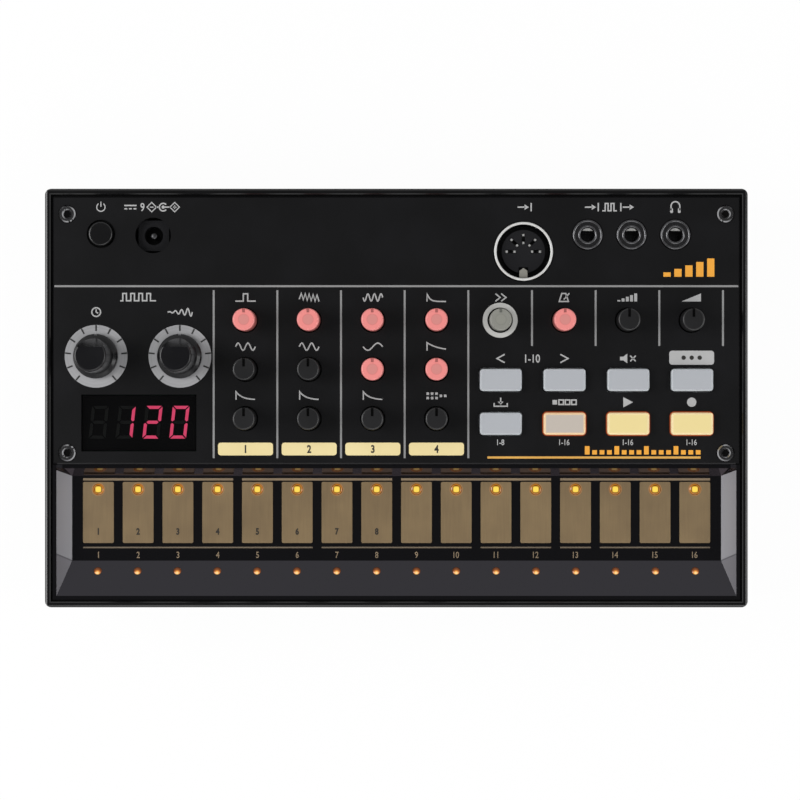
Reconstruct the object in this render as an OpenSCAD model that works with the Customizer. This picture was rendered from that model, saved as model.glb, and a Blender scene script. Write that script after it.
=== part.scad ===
// Compact battery drum synthesizer: dials, buttons, sockets, a display and a row of touch pads.
// Millimetres. X is the long side, Y points to the back edge, Z is up and the feet stand on Z = 0.

/* [Casing] */
// Width of the casing, left to right
body_w = 193; // [172:1:215]
// Depth of the casing, front to back
body_d = 115; // [103:1:127]
// Height of the feet under the casing
foot_h = 2; // [1.5:0.5:5]
// Height from the casing's underside to the top face of the panel
case_h = 30; // [29.5:0.5:40]
// Height of the lower half of the casing
seam_h = 12; // [10:0.5:14]
// Corner radius in plan
corner_r = 2; // [1:0.25:4]
// Rounding of the upper edge
edge_r = 0.8; // [0.4:0.1:1.2]
// Bevel of the lower edge
bevel = 1.8; // [0.5:0.1:1.9]
// Wall thickness of the upper half
wall = 3; // [2.7:0.1:3.4]
// Wall thickness of the lower half
lower_wall = 2.4; // [2:0.1:3]
// Thickness of the casing's floor
floor_t = 2; // [1.8:0.1:3]
// Width of the rim that frames the panel
rim_w = 1.6; // [1.4:0.1:2]
// Height of the rim above the panel
rim_proud = 0.4; // [0:0.1:1]
// Radius of a foot
foot_r = 6; // [4:0.5:7]

/* [Panel] */
// Gap between the panel and the rim
panel_gap = 0.55; // [0.15:0.05:0.7]
// Depth of the panel, front to back
panel_d = 73.5; // [72:0.5:76]
// Thickness of the panel
panel_t = 2; // [1.6:0.1:2.4]
// Bevel along the panel's upper edges
panel_bevel = 0.35; // [0.1:0.05:0.5]
// Radius of the heads of the panel's screws
screw_head_r = 2.3; // [1.9:0.1:2.4]
// Width of the panel's left part, with the big dials and the display
side_w = 44.2; // [43.6:0.1:48]
// Margin between the last column and the panel's right edge
end_margin = 4.7; // [3:0.1:8]
// Gap between the panel's underside and the main board
board_drop = 5.6; // [5.4:0.1:6.4]
// Thickness of the circuit boards
board_t = 1.6; // [1:0.1:2]

/* [Small dials] */
// Distance between rows of dials
row_pitch = 13.5; // [12.5:0.25:14]
// Distance from the panel's front edge to the first row
first_row = 12.5; // [11:0.25:13.5]
// Radius of a small dial
dial_r = 3.05; // [2.6:0.05:3.15]
// Height of a small dial above the panel
dial_h = 7; // [5:0.25:9]
// Radius of the hole around a small dial
dial_hole_r = 3.5; // [3.45:0.05:3.8]
// Width of the lit ring around one dial
ring_w = 1.3; // [1:0.1:1.8]

/* [Big dials] */
// Distance from the panel's left edge to the left big dial
big_in = 11.95; // [11.75:0.05:12.4]
// Distance between the two big dials
big_pitch = 23; // [19:0.5:24]
// Distance from the panel's front edge to the big dials
big_row = 29.6; // [28:0.2:32]
// Radius of the big dial's skirt
skirt_r = 6.1; // [5.4:0.1:7]
// Radius of the big dial's grip at its top
grip_r = 4.4; // [4.2:0.1:5]
// Height of a big dial above the panel
big_h = 13; // [11:0.5:18]
// Radius of the scale plate under a big dial
scale_r = 8.6; // [7.6:0.1:9.2]

/* [Buttons] */
// Width of a button
button_w = 11.5; // [9:0.1:12.5]
// Depth of a button
button_d = 6.1; // [5:0.1:7.4]
// Height of a button above the panel
button_h = 1.8; // [1.2:0.1:3]
// Travel of a button
button_travel = 0.8; // [0.4:0.1:1]
// Distance between the two rows of buttons
button_pitch = 12; // [11.4:0.15:13]
// Distance from the panel's front edge to the front row of buttons
button_row = 11.1; // [9:0.1:12]
// Radius of the power button
power_r = 3.3; // [2.6:0.1:3.6]

/* [Display] */
// Distance from the panel's left edge to the middle of the display
display_in = 23.65; // [23.35:0.05:25.5]
// Distance from the panel's front edge to the middle of the display
display_row = 11.3; // [10.8:0.1:12]
// Width of the display window
display_w = 31.6; // [29:0.2:32]
// Depth of the display window
display_d = 15.6; // [13:0.2:16.4]
// Height of a digit
digit_h = 9; // [7:0.25:10]
// Width of a digit
digit_w = 4.6; // [3.5:0.1:5]
// Distance between digits
digit_pitch = 7.4; // [6.9:0.1:7.5]

/* [Sockets] */
// Distance from the panel's front edge to the row of small sockets
socket_row = 63; // [61.5:0.25:63.5]
// Radius of a plug's bore in the small sockets
jack_bore_r = 1.8; // [1.7:0.05:1.9]
// Radius of a small socket's collar
jack_collar_r = 4.1; // [3.6:0.1:4.3]
// Distance between the small sockets
jack_pitch = 12.05; // [11.6:0.05:12.4]
// Radius of the round multi-pin socket
din_r = 8.05; // [7.8:0.05:8.6]
// Distance from the panel's front edge to the multi-pin socket
din_row = 58.4; // [57:0.2:60]
// Radius of the power socket's bore
dc_bore_r = 2.55; // [2.2:0.05:2.8]
// Radius of the power socket's centre pin
dc_pin_r = 0.83; // [0.5:0.05:1]

/* [Touch pads] */
// Number of pads
pad_count = 16; // [8:1:16]
// Margin of the row of pads at each end of the tray's floor
pad_side = 1.8; // [1:0.1:6]
// Width of a pad
pad_w = 8.5; // [6:0.25:9]
// Bare strip of the tray's floor in front of the pads
pad_front = 4.9; // [3.8:0.1:9]
// Depth of the tray below the panel
tray_depth = 5.4; // [4.8:0.1:5.6]
// Thickness of the tray's shell
tray_t = 1.3; // [1:0.1:1.4]
// Width of the tray's lip inside the rim
tray_lip = 1.05; // [0.8:0.05:1.5]
// Horizontal run of the tray's front slope
front_run = 9.3; // [7:0.1:10]
// Horizontal run of the tray's side walls
side_run = 3.5; // [2.5:0.1:4]
// Distance from the panel's front edge to the tray's floor
floor_back = 3.4; // [3.2:0.1:4.2]
// Distance of the front lamps from the tray's floor
lens_run = 2.7; // [2:0.1:4]

/* [Battery bay] */
// Distance from the casing's left side to the bay
bay_in = 10.5; // [10.4:0.1:14]
// Inside length of the bay
bay_w = 110; // [104:1:111]
// Inside width of the bay
bay_d = 46; // [44:0.5:47]
// Inside height of the bay
bay_h = 17.5; // [15:0.5:18]
// Thickness of the bay's walls
bay_wall = 1.5; // [1:0.1:1.8]
// Thickness of the battery door
door_t = 1.9; // [1.5:0.1:2]
// Radius of the door's hinge pins
pin_r = 0.6; // [0.4:0.05:0.7]

/* [Loudspeaker] */
// Radius of the loudspeaker
speaker_r = 22; // [18:0.5:23]
// Radius of one hole of the grille
grille_r = 1.1; // [0.7:0.05:1.4]

/* [Hidden] */
$fn = 64;
// Clearances between fixed parts, around a collar and of a shaft in its bore
fit = 0.15;
collar_gap = 0.25;
run = 0.05;
// Overshoot of a cut, and the overlap of shapes that are joined
cut = 1;
embed = 0.5;

// Levels, from the feet up
floor_z = foot_h + floor_t;
seam_z = foot_h + seam_h;
panel_top = foot_h + case_h;
panel_low = panel_top - panel_t;
rim_top = panel_top + rim_proud;
board_top = panel_low - board_drop;
board_low = board_top - board_t;
tray_floor = panel_top - tray_depth;
tray_low = tray_floor - tray_t;
pad_t = 0.3;
bay_top = foot_h + bay_h;

// Plan of the casing and the panel
in_x = body_w / 2 - wall;
in_y = body_d / 2 - wall;
rim_bevel = 0.25;
panel_x = body_w / 2 - rim_w - panel_gap;
panel_back = body_d / 2 - rim_w - panel_gap;
panel_front = panel_back - panel_d;

// Seam between the halves: a shadow gap above it and a tongue inside
groove_in = 0.35;
groove_h = 0.4;
lip_h = 1.5;
lip_deep = 3;
lip_t = 1;
lip_drop = 0.4;

// Plan of the tray
tray_x = panel_x - tray_lip - side_run;
tray_front = -panel_back + tray_lip + front_run;
tray_back = panel_front - floor_back;
side_slope = side_run / tray_depth;
front_slope = front_run / tray_depth;
side_shell = tray_t * sqrt(1 + side_slope * side_slope);
front_shell = tray_t * sqrt(1 + front_slope * front_slope);
front_tilt = atan(1 / front_slope);

// Pads
pad_back = 1.65;
pad_cr = 0.4;
pad_l = tray_back - pad_back - tray_front - pad_front;
pad_pitch = 2 * (tray_x - pad_side) / pad_count;
pad_y = tray_back - pad_back - pad_l / 2;
led_inset = 2.05;
led_r = 1.45;
led_crown_r = 1.1;
led_proud = 0.2;
led_gap = 0.15;
lens_r = 1;
lens_crown_r = 0.75;
lens_proud = 0.38;
lens_edge = 0.1;
lens_gap = 0.1;
lens_flange = 0.4;
tray_play = 0.1;
shelf_gap = 1;
shelf_lap = 1.2;
touch_in = 1;
touch_end = 1.5;
ribbon_w = 26;
ribbon_t = 0.4;
ribbon_l = 6;
led_y = tray_back - pad_back - led_inset;
function pad_x(i) = (i - (pad_count - 1) / 2) * pad_pitch;

// Screws and posts
thread_r = 1.25;
screw_gap = 0.25;
screw_in_x = 4;
screw_in_front = 3.1;
screw_in_back = 4.85;
panel_screw_at = [for (sx = [-1, 1]) for (y = [panel_front + screw_in_front, panel_back - screw_in_back])
    [sx * (panel_x - screw_in_x), y]];
head_sink = 0.8;
head_gap = 0.2;
head_h = 1.3;
head_bevel = 0.35;
hex_r = 1;
hex_deep = 1;
hex_flare = 0.45;
flare_in = 0.08;
panel_thread = 3.6;
boss_r = 2.4;
rib_t = 2;
rib_drop = 2;
case_screw_in = 8.5;
case_screw_front = 23.5;
case_screw_back = 26.5;
case_screw_at = [for (sx = [-1, 1]) for (y = [case_screw_front - body_d / 2, body_d / 2 - case_screw_back])
    [sx * (body_w / 2 - case_screw_in), y]];
case_post_r = 3;
case_boss_h = 7;
case_seat = 1.6;
case_head_r = 2.5;
case_head_t = 1.4;
case_head_gap = 0.3;
cross_w = 3.4;
cross_t = 0.7;
cross_deep = 0.8;
foot_in_x = 14.5;
foot_in_y = 10.5;
foot_at = [for (sx = [-1, 1]) for (sy = [-1, 1])
    [sx * (body_w / 2 - foot_in_x), sy * (body_d / 2 - foot_in_y)]];
foot_sink = 0.6;
foot_bevel = 0.5;

// Controls
col_count = 8;
col_pitch = (2 * panel_x - side_w - end_margin) / col_count;
function col_x(i) = side_w - panel_x + (i + 0.5) * col_pitch;
button_right = 0.15;
function button_x(i) = col_x(i) + button_right;
function row_y(j) = panel_front + first_row + (2 - j) * row_pitch;
function button_y(j) = panel_front + button_row + (1 - j) * button_pitch;
big_y = panel_front + big_row;
big_at = [[big_in - panel_x, big_y], [big_in + big_pitch - panel_x, big_y]];
speed_col = 4;
speed_at = [col_x(speed_col), row_y(0)];
power_in = 13.25;
power_up = 0.2;
power_at = [power_in - panel_x, panel_front + socket_row + power_up];
power_gap = 0.6;
power_h = 1.2;
power_round = 0.5;
power_flange = 1.5;
display_at = [display_in - panel_x, panel_front + display_row];
display_sink = 0.3;
window_t = 1;
window_gap = 0.2;
module_gap = 0.25;
module_top = panel_top - display_sink - window_t - window_gap;
segment_t = 0.85;
segment_gap = 0.12;
segment_h = 0.15;
point_r = 0.45;
point_in = 1.1;
digits_left = 0.1;
digits_up = 0.2;
flange_t = 1.2;
flange_gap = 0.1;
flange_top = panel_low - flange_gap;
flange_low = flange_top - flange_t;
button_gap = 0.3;
button_cr = 1;
button_er = 0.5;
button_flange = 0.8;
switch_w = 6;
plunger_r = 1.7;
plunger_h = 0.4;
plunger_gap = 0.1;
shaft_r = 2;
big_shaft_r = 3;
shaft_floor = 0.8;
shaft_gap = 0.4;
pot_w = 9.6;
pot_d = 10.6;
pot_gap = 0.3;
pot_top = panel_low - 0.6;
dial_round = 0.5;
slot_w = 0.74;
slot_deep = 0.45;
slot_in = 0.15;
long_slot = 2.2;
short_slot = 1;
big_pot_w = 12;
big_pot_drop = 0.6;
knob_round = 0.7;
knob_cap = 3;
press_gap = 0.02;
skirt_h = 2.7;
skirt_drop = 0.9;
skirt_bevel = 0.35;
grip_flare = 0.55;
facet_y = 2.3;
facet_in = 0.9;
notch_w = 0.9;
notch_deep = 0.45;
bushing_r = 3.6;
bushing_gap = 0.3;
scale_t = 0.25;
skirt_gap = 0.25;
skirt_low = panel_top + scale_t + skirt_gap;
ring_proud = 0.2;

// Sockets
dc_in = 27.55;
dc_down = 0.2;
dc_at = [dc_in - panel_x, panel_front + socket_row - dc_down];
dc_w = 8.4;
dc_cr = 2;
dc_hole_r = 4.9;
dc_deep = 9;
dc_floor = 1;
dc_pin_down = 0.8;
board_gap = 0.2;
board_in_front = 1.65;
board_in_back = 1.1;
board_in_side = 1;
seat_t = 1;
seat_w = 0.8;
din_in = 59.45;
din_at = [panel_x - din_in, panel_front + din_row];
din_wall = 0.65;
din_moat = 1.45;
din_proud = 0.6;
din_bevel = 0.2;
din_face = panel_top - 1;
din_core_r = din_r - din_wall - din_moat;
din_base = 1.4;
key_w = 2.2;
key_l = 3.55;
key_point = 0.8;
key_deep = 4;
key_gap = 0.2;
din_slot = 3;
slot_from = 2;
slot_l = 3;
slot_t = 0.9;
contact_w = 0.6;
contact_at = [2.1, 4.3];
jack_in = 17.75;
jack_at = [for (i = [0:2]) [panel_x - jack_in - i * jack_pitch, panel_front + socket_row]];
jack_w = 9;
jack_d = 9.6;
jack_deep = 14.4;
jack_floor = 0.8;
jack_proud = 0.35;
bead_r = 0.32;
bead_in = 0.06;
mouth_t = 0.25;
mouth_deep = 0.4;

// Battery bay and door
bay_x = bay_in + (bay_w - body_w) / 2;
bay_y = -1;
door_gap = 0.3;
hinge_y = bay_y - bay_d / 2 + door_gap + door_t / 2;
hinge_z = foot_h + door_t / 2;
door_free = bay_y + bay_d / 2 - door_gap;
pin_l = 1.3;
pin_play = 0.2;
finger_r = 8;
finger_deep = 0.9;
grip_pitch = 3;
grip_w = 1.2;
grip_l = 7;
grip_in = 6;
grip_deep = 0.4;
cell_pitch = 14.8;
plate_h = 11;
plate_w = 10;
plate_t = 0.5;
button_end_r = 2.6;
spring_r1 = 4;
spring_r2 = 2.4;
spring_h = 2;

// Loudspeaker, in the middle between the bay and the casing's right side
speaker_x = (bay_x + bay_w / 2 + bay_wall + body_w / 2 - lower_wall) / 2;
speaker_y = -4;
speaker_rim = 2.5;
rim_t = 1.2;
basket_t = 1;
basket_h = 8.6;
magnet_h = 3.8;
cone_gap = 0.1;
cone_t = 0.4;
cap_r = 6.2;
cap_dip_r = 4;
cap_z = 5.9;
cap_dip = 1.7;
grille_pitch = 3.4;
grille_in = 5.5;

// Small dials: name, column, row and length of the pointer slot
DIALS = [
    ["kick_click_dial", 0, 0, short_slot], ["kick_pitch_dial", 0, 1, long_slot],
    ["kick_decay_dial", 0, 2, long_slot], ["snare_snap_dial", 1, 0, short_slot],
    ["snare_pitch_dial", 1, 1, long_slot], ["snare_decay_dial", 1, 2, long_slot],
    ["high_tom_dial", 2, 0, short_slot], ["low_tom_dial", 2, 1, short_slot],
    ["tom_decay_dial", 2, 2, long_slot], ["closed_hat_dial", 3, 0, short_slot],
    ["open_hat_dial", 3, 1, short_slot], ["hat_grain_dial", 3, 2, long_slot],
    ["sample_speed_dial", 4, 0, short_slot], ["tempo_dial", 5, 0, short_slot],
    ["level_dial", 6, 0, long_slot], ["volume_dial", 7, 0, long_slot]
];
// Panel buttons: name, column and row
BUTTONS = [
    ["back_button", 4, 0], ["next_button", 5, 0], ["mute_button", 6, 0], ["shift_button", 7, 0],
    ["memory_button", 4, 1], ["step_mode_button", 5, 1], ["play_button", 6, 1], ["record_button", 7, 1]
];

// Plan shape with round corners
module plan(w, d, r) {
    square([w, d - 2 * r], center = true);
    square([w - 2 * r, d], center = true);
    for (sx = [-1, 1], sy = [-1, 1])
        translate([sx * (w / 2 - r), sy * (d / 2 - r)]) circle(r);
}

// Cross-section with round upper corners, standing on zero
module loaf(w, h, r) {
    translate([-w / 2, 0]) square([w, h - r]);
    translate([-w / 2 + r, 0]) square([w - 2 * r, h]);
    for (sx = [-1, 1])
        translate([sx * (w / 2 - r), h - r]) circle(r);
}

// Prism along X with a cross-section given in Y and Z
module along_x(l) {
    rotate([90, 0, 90]) linear_extrude(l, center = true) children();
}

// Prism along Y with a cross-section given in X and Z
module along_y(l) {
    rotate([90, 0, 0]) linear_extrude(l, center = true) children();
}

// Block with round vertical corners and round upper edges
module soft_block(w, d, h, cr, er) {
    intersection() {
        linear_extrude(h) plan(w, d, cr);
        along_y(d + 2 * cut) loaf(w, h, er);
        along_x(w + 2 * cut) loaf(d, h, er);
    }
}

// Cross-section with bevelled lower corners, standing on zero
module bevelled(w, h, c) {
    polygon([[-w / 2 + c, 0], [w / 2 - c, 0], [w / 2, c], [w / 2, h], [-w / 2, h], [-w / 2, c]]);
}

// Cross-section of an opening that flares along its upper edges, standing on zero
module flared(w, h, c) {
    polygon([[-w / 2, 0], [w / 2, 0], [w / 2, h - c], [w / 2 + c + cut, h + cut],
        [-w / 2 - c - cut, h + cut], [-w / 2, h - c]]);
}

// Box centred in plan, from one level to another
module box(w, d, z0, z1) {
    translate([-w / 2, -d / 2, z0]) cube([w, d, z1 - z0]);
}

// Upright cylinder from one level to another
module rod(r, z0, z1) {
    translate([0, 0, z0]) cylinder(r = r, h = z1 - z0);
}

// Places a child at each of a list of points in plan
module at(points) {
    for (p = points)
        translate([p[0], p[1], 0]) children();
}

module bottom_case() {
    color("#262626")
    difference() {
        union() {
            difference() {
                translate([0, 0, foot_h]) intersection() {
                    linear_extrude(seam_h) plan(body_w, body_d, corner_r);
                    along_y(body_d + 2 * cut) bevelled(body_w, seam_h, bevel);
                    along_x(body_w + 2 * cut) bevelled(body_d, seam_h, bevel);
                }
                box(body_w - 2 * lower_wall, body_d - 2 * lower_wall, floor_z, seam_z + cut);
            }
            seam_lip();
            translate([bay_x, bay_y, 0])
                box(bay_w + 2 * bay_wall, bay_d + 2 * bay_wall, floor_z - embed, bay_top + bay_wall);
            at(panel_screw_at) rod(boss_r, floor_z - embed, board_low);
            at(case_screw_at) rod(case_post_r, floor_z - embed, seam_z);
        }
        translate([bay_x, bay_y, 0]) box(bay_w, bay_d, 0, bay_top);
        hinge_bores();
        at(case_screw_at) rod(thread_r + screw_gap, 0, seam_z + cut);
        at(case_screw_at) rod(case_head_r + case_head_gap, 0, foot_h + case_seat);
        at(foot_at) rod(foot_r, 0, foot_h + foot_sink);
        translate([speaker_x, speaker_y, 0]) grille();
        translate([bay_x, door_free, foot_h]) rod(finger_r, -cut, finger_deep);
    }
}

// Tongue that locates the upper half on the lower one
module seam_lip() {
    lip_x = in_x - fit;
    lip_y = in_y - fit;
    difference() {
        union() {
            box(2 * lip_x, 2 * lip_y, seam_z - lip_deep, seam_z + lip_h);
            box(body_w - 2 * lip_t, body_d - 2 * lip_t, seam_z - lip_deep, seam_z - lip_drop);
        }
        box(2 * (lip_x - lip_t), 2 * (lip_y - lip_t), seam_z - lip_deep - cut, seam_z + lip_h + cut);
    }
}

module hinge_bores() {
    translate([bay_x, hinge_y, hinge_z]) rotate([0, 90, 0])
        cylinder(r = pin_r + run, h = bay_w + 2 * (pin_l + pin_play), center = true);
}

// Round field of holes in front of the loudspeaker
module grille() {
    reach = speaker_r - grille_in;
    n = floor(reach / grille_pitch) + 1;
    for (i = [-n:n], j = [-n:n]) {
        x = (i + j / 2) * grille_pitch;
        y = j * grille_pitch * sqrt(3) / 2;
        if (norm([x, y]) < reach)
            translate([x, y, 0]) rod(grille_r, 0, floor_z + cut);
    }
}

module top_case() {
    color("#1f1f20")
    difference() {
        union() {
            difference() {
                union() {
                    translate([0, 0, seam_z + groove_h])
                        soft_block(body_w, body_d, rim_top - seam_z - groove_h, corner_r, edge_r);
                    translate([0, 0, seam_z]) linear_extrude(groove_h + embed)
                        plan(body_w - 2 * groove_in, body_d - 2 * groove_in, corner_r - groove_in);
                }
                box(2 * in_x, 2 * in_y, seam_z - cut, rim_top + cut);
                translate([0, 0, panel_low]) intersection() {
                    along_y(body_d) flared(body_w - 2 * rim_w, rim_top - panel_low, rim_bevel);
                    along_x(body_w) flared(body_d - 2 * rim_w, rim_top - panel_low, rim_bevel);
                }
            }
            at(panel_screw_at) rod(boss_r, board_top, panel_low);
            for (p = panel_screw_at)
                translate([sign(p[0]) * (in_x + abs(p[0])) / 2, p[1], 0])
                    box(in_x - abs(p[0]) + embed, rib_t, board_top + rib_drop, panel_low);
            at(case_screw_at) rod(case_post_r, seam_z, seam_z + case_boss_h);
            for (p = case_screw_at)
                translate([sign(p[0]) * (in_x + abs(p[0])) / 2, p[1], 0])
                    box(in_x - abs(p[0]) + embed, rib_t, seam_z + rib_drop, seam_z + case_boss_h);
        }
        at(panel_screw_at) rod(thread_r + run, board_top - cut, panel_low + cut);
        at(case_screw_at) rod(thread_r + run, seam_z - cut, seam_z + case_boss_h - cut);
    }
}

// Bevels one straight upper edge that runs along X through the origin
module edge_bevel(l, c) {
    rotate([45, 0, 0]) cube([l, c * sqrt(2), c * sqrt(2)], center = true);
}

module control_panel() {
    mid_y = (panel_front + panel_back) / 2;
    z0 = panel_low - cut;
    z1 = panel_top + cut;
    color("#1c1c1d")
    difference() {
        translate([0, mid_y, 0]) box(2 * panel_x, panel_d, panel_low, panel_top);
        for (y = [panel_front, panel_back])
            translate([0, y, panel_top]) edge_bevel(body_w, panel_bevel);
        for (sx = [-1, 1])
            translate([sx * panel_x, mid_y, panel_top]) rotate([0, 0, 90]) edge_bevel(body_d, panel_bevel);
        at(panel_screw_at) rod(thread_r + screw_gap, z0, z1);
        at(panel_screw_at) rod(screw_head_r + head_gap, panel_top - head_sink, z1);
        for (d = DIALS)
            if (d[1] != speed_col)
                translate([col_x(d[1]), row_y(d[2]), 0]) rod(dial_hole_r, z0, z1);
        at([speed_at]) rod(dial_hole_r + ring_w + run, z0, z1);
        at(big_at) rod(bushing_r + collar_gap, z0, z1);
        for (b = BUTTONS)
            translate([button_x(b[1]), button_y(b[2]), z0]) linear_extrude(z1 - z0)
                plan(button_w + 2 * button_gap, button_d + 2 * button_gap, button_cr + button_gap);
        at([power_at]) rod(power_r + power_gap, z0, z1);
        at([display_at]) box(display_w, display_d, z0, z1);
        at([dc_at]) rod(dc_hole_r, z0, z1);
        at([din_at]) rod(din_r + collar_gap, z0, z1);
        at(jack_at) rod(jack_collar_r + collar_gap, z0, z1);
    }
}

module panel_screws() {
    seat = panel_top - head_sink;
    r = screw_head_r;
    color("#6a6a6c")
    at(panel_screw_at) difference() {
        union() {
            translate([0, 0, seat]) rotate_extrude()
                polygon([[0, 0], [r, 0], [r, head_h - head_bevel], [r - head_bevel, head_h], [0, head_h]]);
            rod(thread_r, seat - panel_t - panel_thread, seat + (head_h - hex_deep) / 2);
        }
        rod(hex_r, seat + head_h - hex_deep, seat + head_h + cut, $fn = 6);
        translate([0, 0, seat + head_h - hex_flare])
            cylinder(r1 = hex_r - flare_in, r2 = hex_r - flare_in + hex_flare + cut, h = hex_flare + cut);
    }
}

module case_screws() {
    seat = foot_h + case_seat;
    color("#58585a")
    at(case_screw_at) difference() {
        union() {
            rod(case_head_r, seat - case_head_t, seat);
            rod(thread_r, seat - embed, seam_z + case_boss_h - 2 * cut);
        }
        box(cross_w, cross_t, seat - case_head_t - cut, seat - case_head_t + cross_deep);
        box(cross_t, cross_w, seat - case_head_t - cut, seat - case_head_t + cross_deep);
    }
}

module rubber_feet() {
    color("#141414")
    at(foot_at) rotate_extrude()
        polygon([[0, 0], [foot_r - 2 * foot_bevel, 0], [foot_r - foot_bevel, foot_bevel],
            [foot_r - fit, foot_h], [foot_r - fit, foot_h + foot_sink], [0, foot_h + foot_sink]]);
}

// Half width of the tray's hollow at a level, and its front and back ends there
function hollow_x(z) = tray_x + side_slope * (z - tray_floor);
function hollow_front(z) = tray_front - front_slope * (z - tray_floor);
function hollow_back(z) = tray_back + side_slope * (z - tray_floor);

module tray_shell() {
    intersection() {
        along_y(body_d)
            polygon([[-hollow_x(tray_low) - side_shell, tray_low],
                [hollow_x(tray_low) + side_shell, tray_low],
                [hollow_x(panel_low + cut) + side_shell, panel_low + cut],
                [-hollow_x(panel_low + cut) - side_shell, panel_low + cut]]);
        along_x(body_w)
            polygon([[hollow_front(tray_low) - front_shell, tray_low],
                [hollow_back(tray_low) + side_shell, tray_low],
                [hollow_back(panel_low) + side_shell, panel_low],
                [hollow_front(panel_low) - front_shell, panel_low]]);
        box(2 * (in_x - tray_play), 2 * (in_y - tray_play), tray_low - cut, panel_top);
    }
}

module tray_hollow() {
    top = panel_top + cut;
    intersection() {
        along_y(body_d)
            polygon([[-hollow_x(tray_floor), tray_floor], [hollow_x(tray_floor), tray_floor],
                [hollow_x(top), top], [-hollow_x(top), top]]);
        along_x(body_w)
            polygon([[hollow_front(tray_floor), tray_floor], [hollow_back(tray_floor), tray_floor],
                [hollow_back(panel_low), panel_low], [panel_front + cut, panel_low],
                [panel_front + cut, top], [hollow_front(top), top]]);
    }
}

module key_tray() {
    flange_back = panel_front - fit;
    shelf_x = panel_x - screw_in_x - boss_r - shelf_gap;
    color("#2e2e31")
    difference() {
        union() {
            tray_shell();
            translate([0, (flange_back - panel_back) / 2, 0])
                box(2 * panel_x, flange_back + panel_back, panel_low, panel_top);
            translate([-shelf_x, hollow_back(panel_low - flange_t), panel_low - flange_t])
                cube([2 * shelf_x, panel_front + shelf_lap - hollow_back(panel_low - flange_t), flange_t]);
        }
        tray_hollow();
        for (i = [0:pad_count - 1])
            translate([pad_x(i), led_y, 0]) rod(led_r + led_gap, tray_low - cut, panel_low);
        for (i = [0:pad_count - 1]) on_slope(i) rod(lens_r + lens_gap, -tray_t - 2 * cut, 2 * cut);
    }
}

// Places a child on the tray's front slope, upright on its surface
module on_slope(i) {
    translate([pad_x(i), tray_front - lens_run, tray_floor + lens_run / front_slope])
        rotate([-front_tilt, 0, 0]) children();
}

module touch_board() {
    y0 = tray_front + touch_in;
    y1 = tray_back - touch_in;
    color("#1f4a38")
    translate([0, (y0 + y1) / 2, 0]) box(2 * (tray_x - touch_end), y1 - y0, tray_low - board_t, tray_low);
}

module step_pads() {
    color("#8f7e62")
    for (i = [0:pad_count - 1])
        difference() {
            translate([pad_x(i), pad_y, tray_floor]) linear_extrude(pad_t) plan(pad_w, pad_l, pad_cr);
            translate([pad_x(i), led_y, 0]) rod(led_r + led_gap, tray_floor - cut, tray_floor + cut);
        }
}

module step_leds() {
    top = tray_t + pad_t;
    color("#ffcc55")
    for (i = [0:pad_count - 1])
        translate([pad_x(i), led_y, tray_low]) rotate_extrude()
            polygon([[0, 0], [led_r, 0], [led_r, top - led_proud / 2], [led_crown_r, top + led_proud / 2],
                [0, top + led_proud]]);
}

module step_lenses() {
    color("#f2a52b")
    for (i = [0:pad_count - 1])
        on_slope(i) rotate_extrude()
            polygon([[0, -tray_t - lens_flange], [lens_r + lens_flange, -tray_t - lens_flange],
                [lens_r + lens_flange, -tray_t], [lens_r, -tray_t], [lens_r, lens_edge],
                [lens_crown_r, lens_proud - lens_edge], [0, lens_proud]]);
}

module main_board() {
    y0 = panel_front + board_in_front;
    y1 = panel_back - board_in_back;
    color("#1f4a38")
    difference() {
        translate([0, (y0 + y1) / 2, 0]) box(2 * (in_x - board_in_side), y1 - y0, board_low, board_top);
        at([dc_at]) box(dc_w + 2 * board_gap, dc_w + 2 * board_gap, board_low - cut, board_top + cut);
        at(jack_at) box(jack_w + 2 * board_gap, jack_d + 2 * board_gap, board_low - cut, board_top + cut);
    }
}

module ribbon_cable() {
    t = ribbon_t;
    y1 = tray_back - 2 * touch_in;
    y0 = y1 - ribbon_l;
    y2 = panel_front + board_in_front;
    y3 = y2 + ribbon_l;
    z0 = tray_low - board_t;
    color("#8c8c90")
    along_x(ribbon_w)
        polygon([[y0, z0 - t], [y1, z0 - t], [y2, board_low - t], [y3, board_low - t],
            [y3, board_low], [y2, board_low], [y1, z0], [y0, z0]]);
}

module small_pots() {
    color("#3a5f8a")
    for (d = DIALS)
        translate([col_x(d[1]), row_y(d[2]), 0])
            difference() {
                box(pot_w, pot_d, board_top, pot_top);
                rod(shaft_r + run, board_top + shaft_floor, pot_top + cut);
            }
}

module small_dial(d) {
    top = panel_top + dial_h;
    round = dial_round;
    foot = board_top + shaft_floor + shaft_gap;
    color(d[3] < long_slot ? "#f08c88" : "#222224")
    translate([col_x(d[1]), row_y(d[2]), 0])
        difference() {
            rotate_extrude() {
                translate([0, foot]) square([shaft_r, pot_top + pot_gap + round - foot]);
                translate([0, pot_top + pot_gap]) square([dial_r, top - round - pot_top - pot_gap]);
                translate([0, top - 2 * round]) square([dial_r - round, 2 * round]);
                translate([dial_r - round, top - round]) circle(round);
            }
            translate([-slot_w / 2, dial_r - slot_in - d[3], top - slot_deep])
                cube([slot_w, d[3] + cut, slot_deep + cut]);
        }
}

module big_pots() {
    color("#4a4a4c")
    at(big_at) difference() {
        union() {
            box(big_pot_w, big_pot_w, board_top, pot_top - big_pot_drop);
            rod(bushing_r, pot_top - big_pot_drop - embed, panel_top);
        }
        rod(big_shaft_r + run, board_top + shaft_floor, panel_top + cut);
    }
}

module big_shaft(p) {
    color("#9a9a9c")
    at([p]) rod(big_shaft_r, board_top + shaft_floor + shaft_gap, panel_top + big_h - knob_cap - shaft_gap);
}

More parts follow.
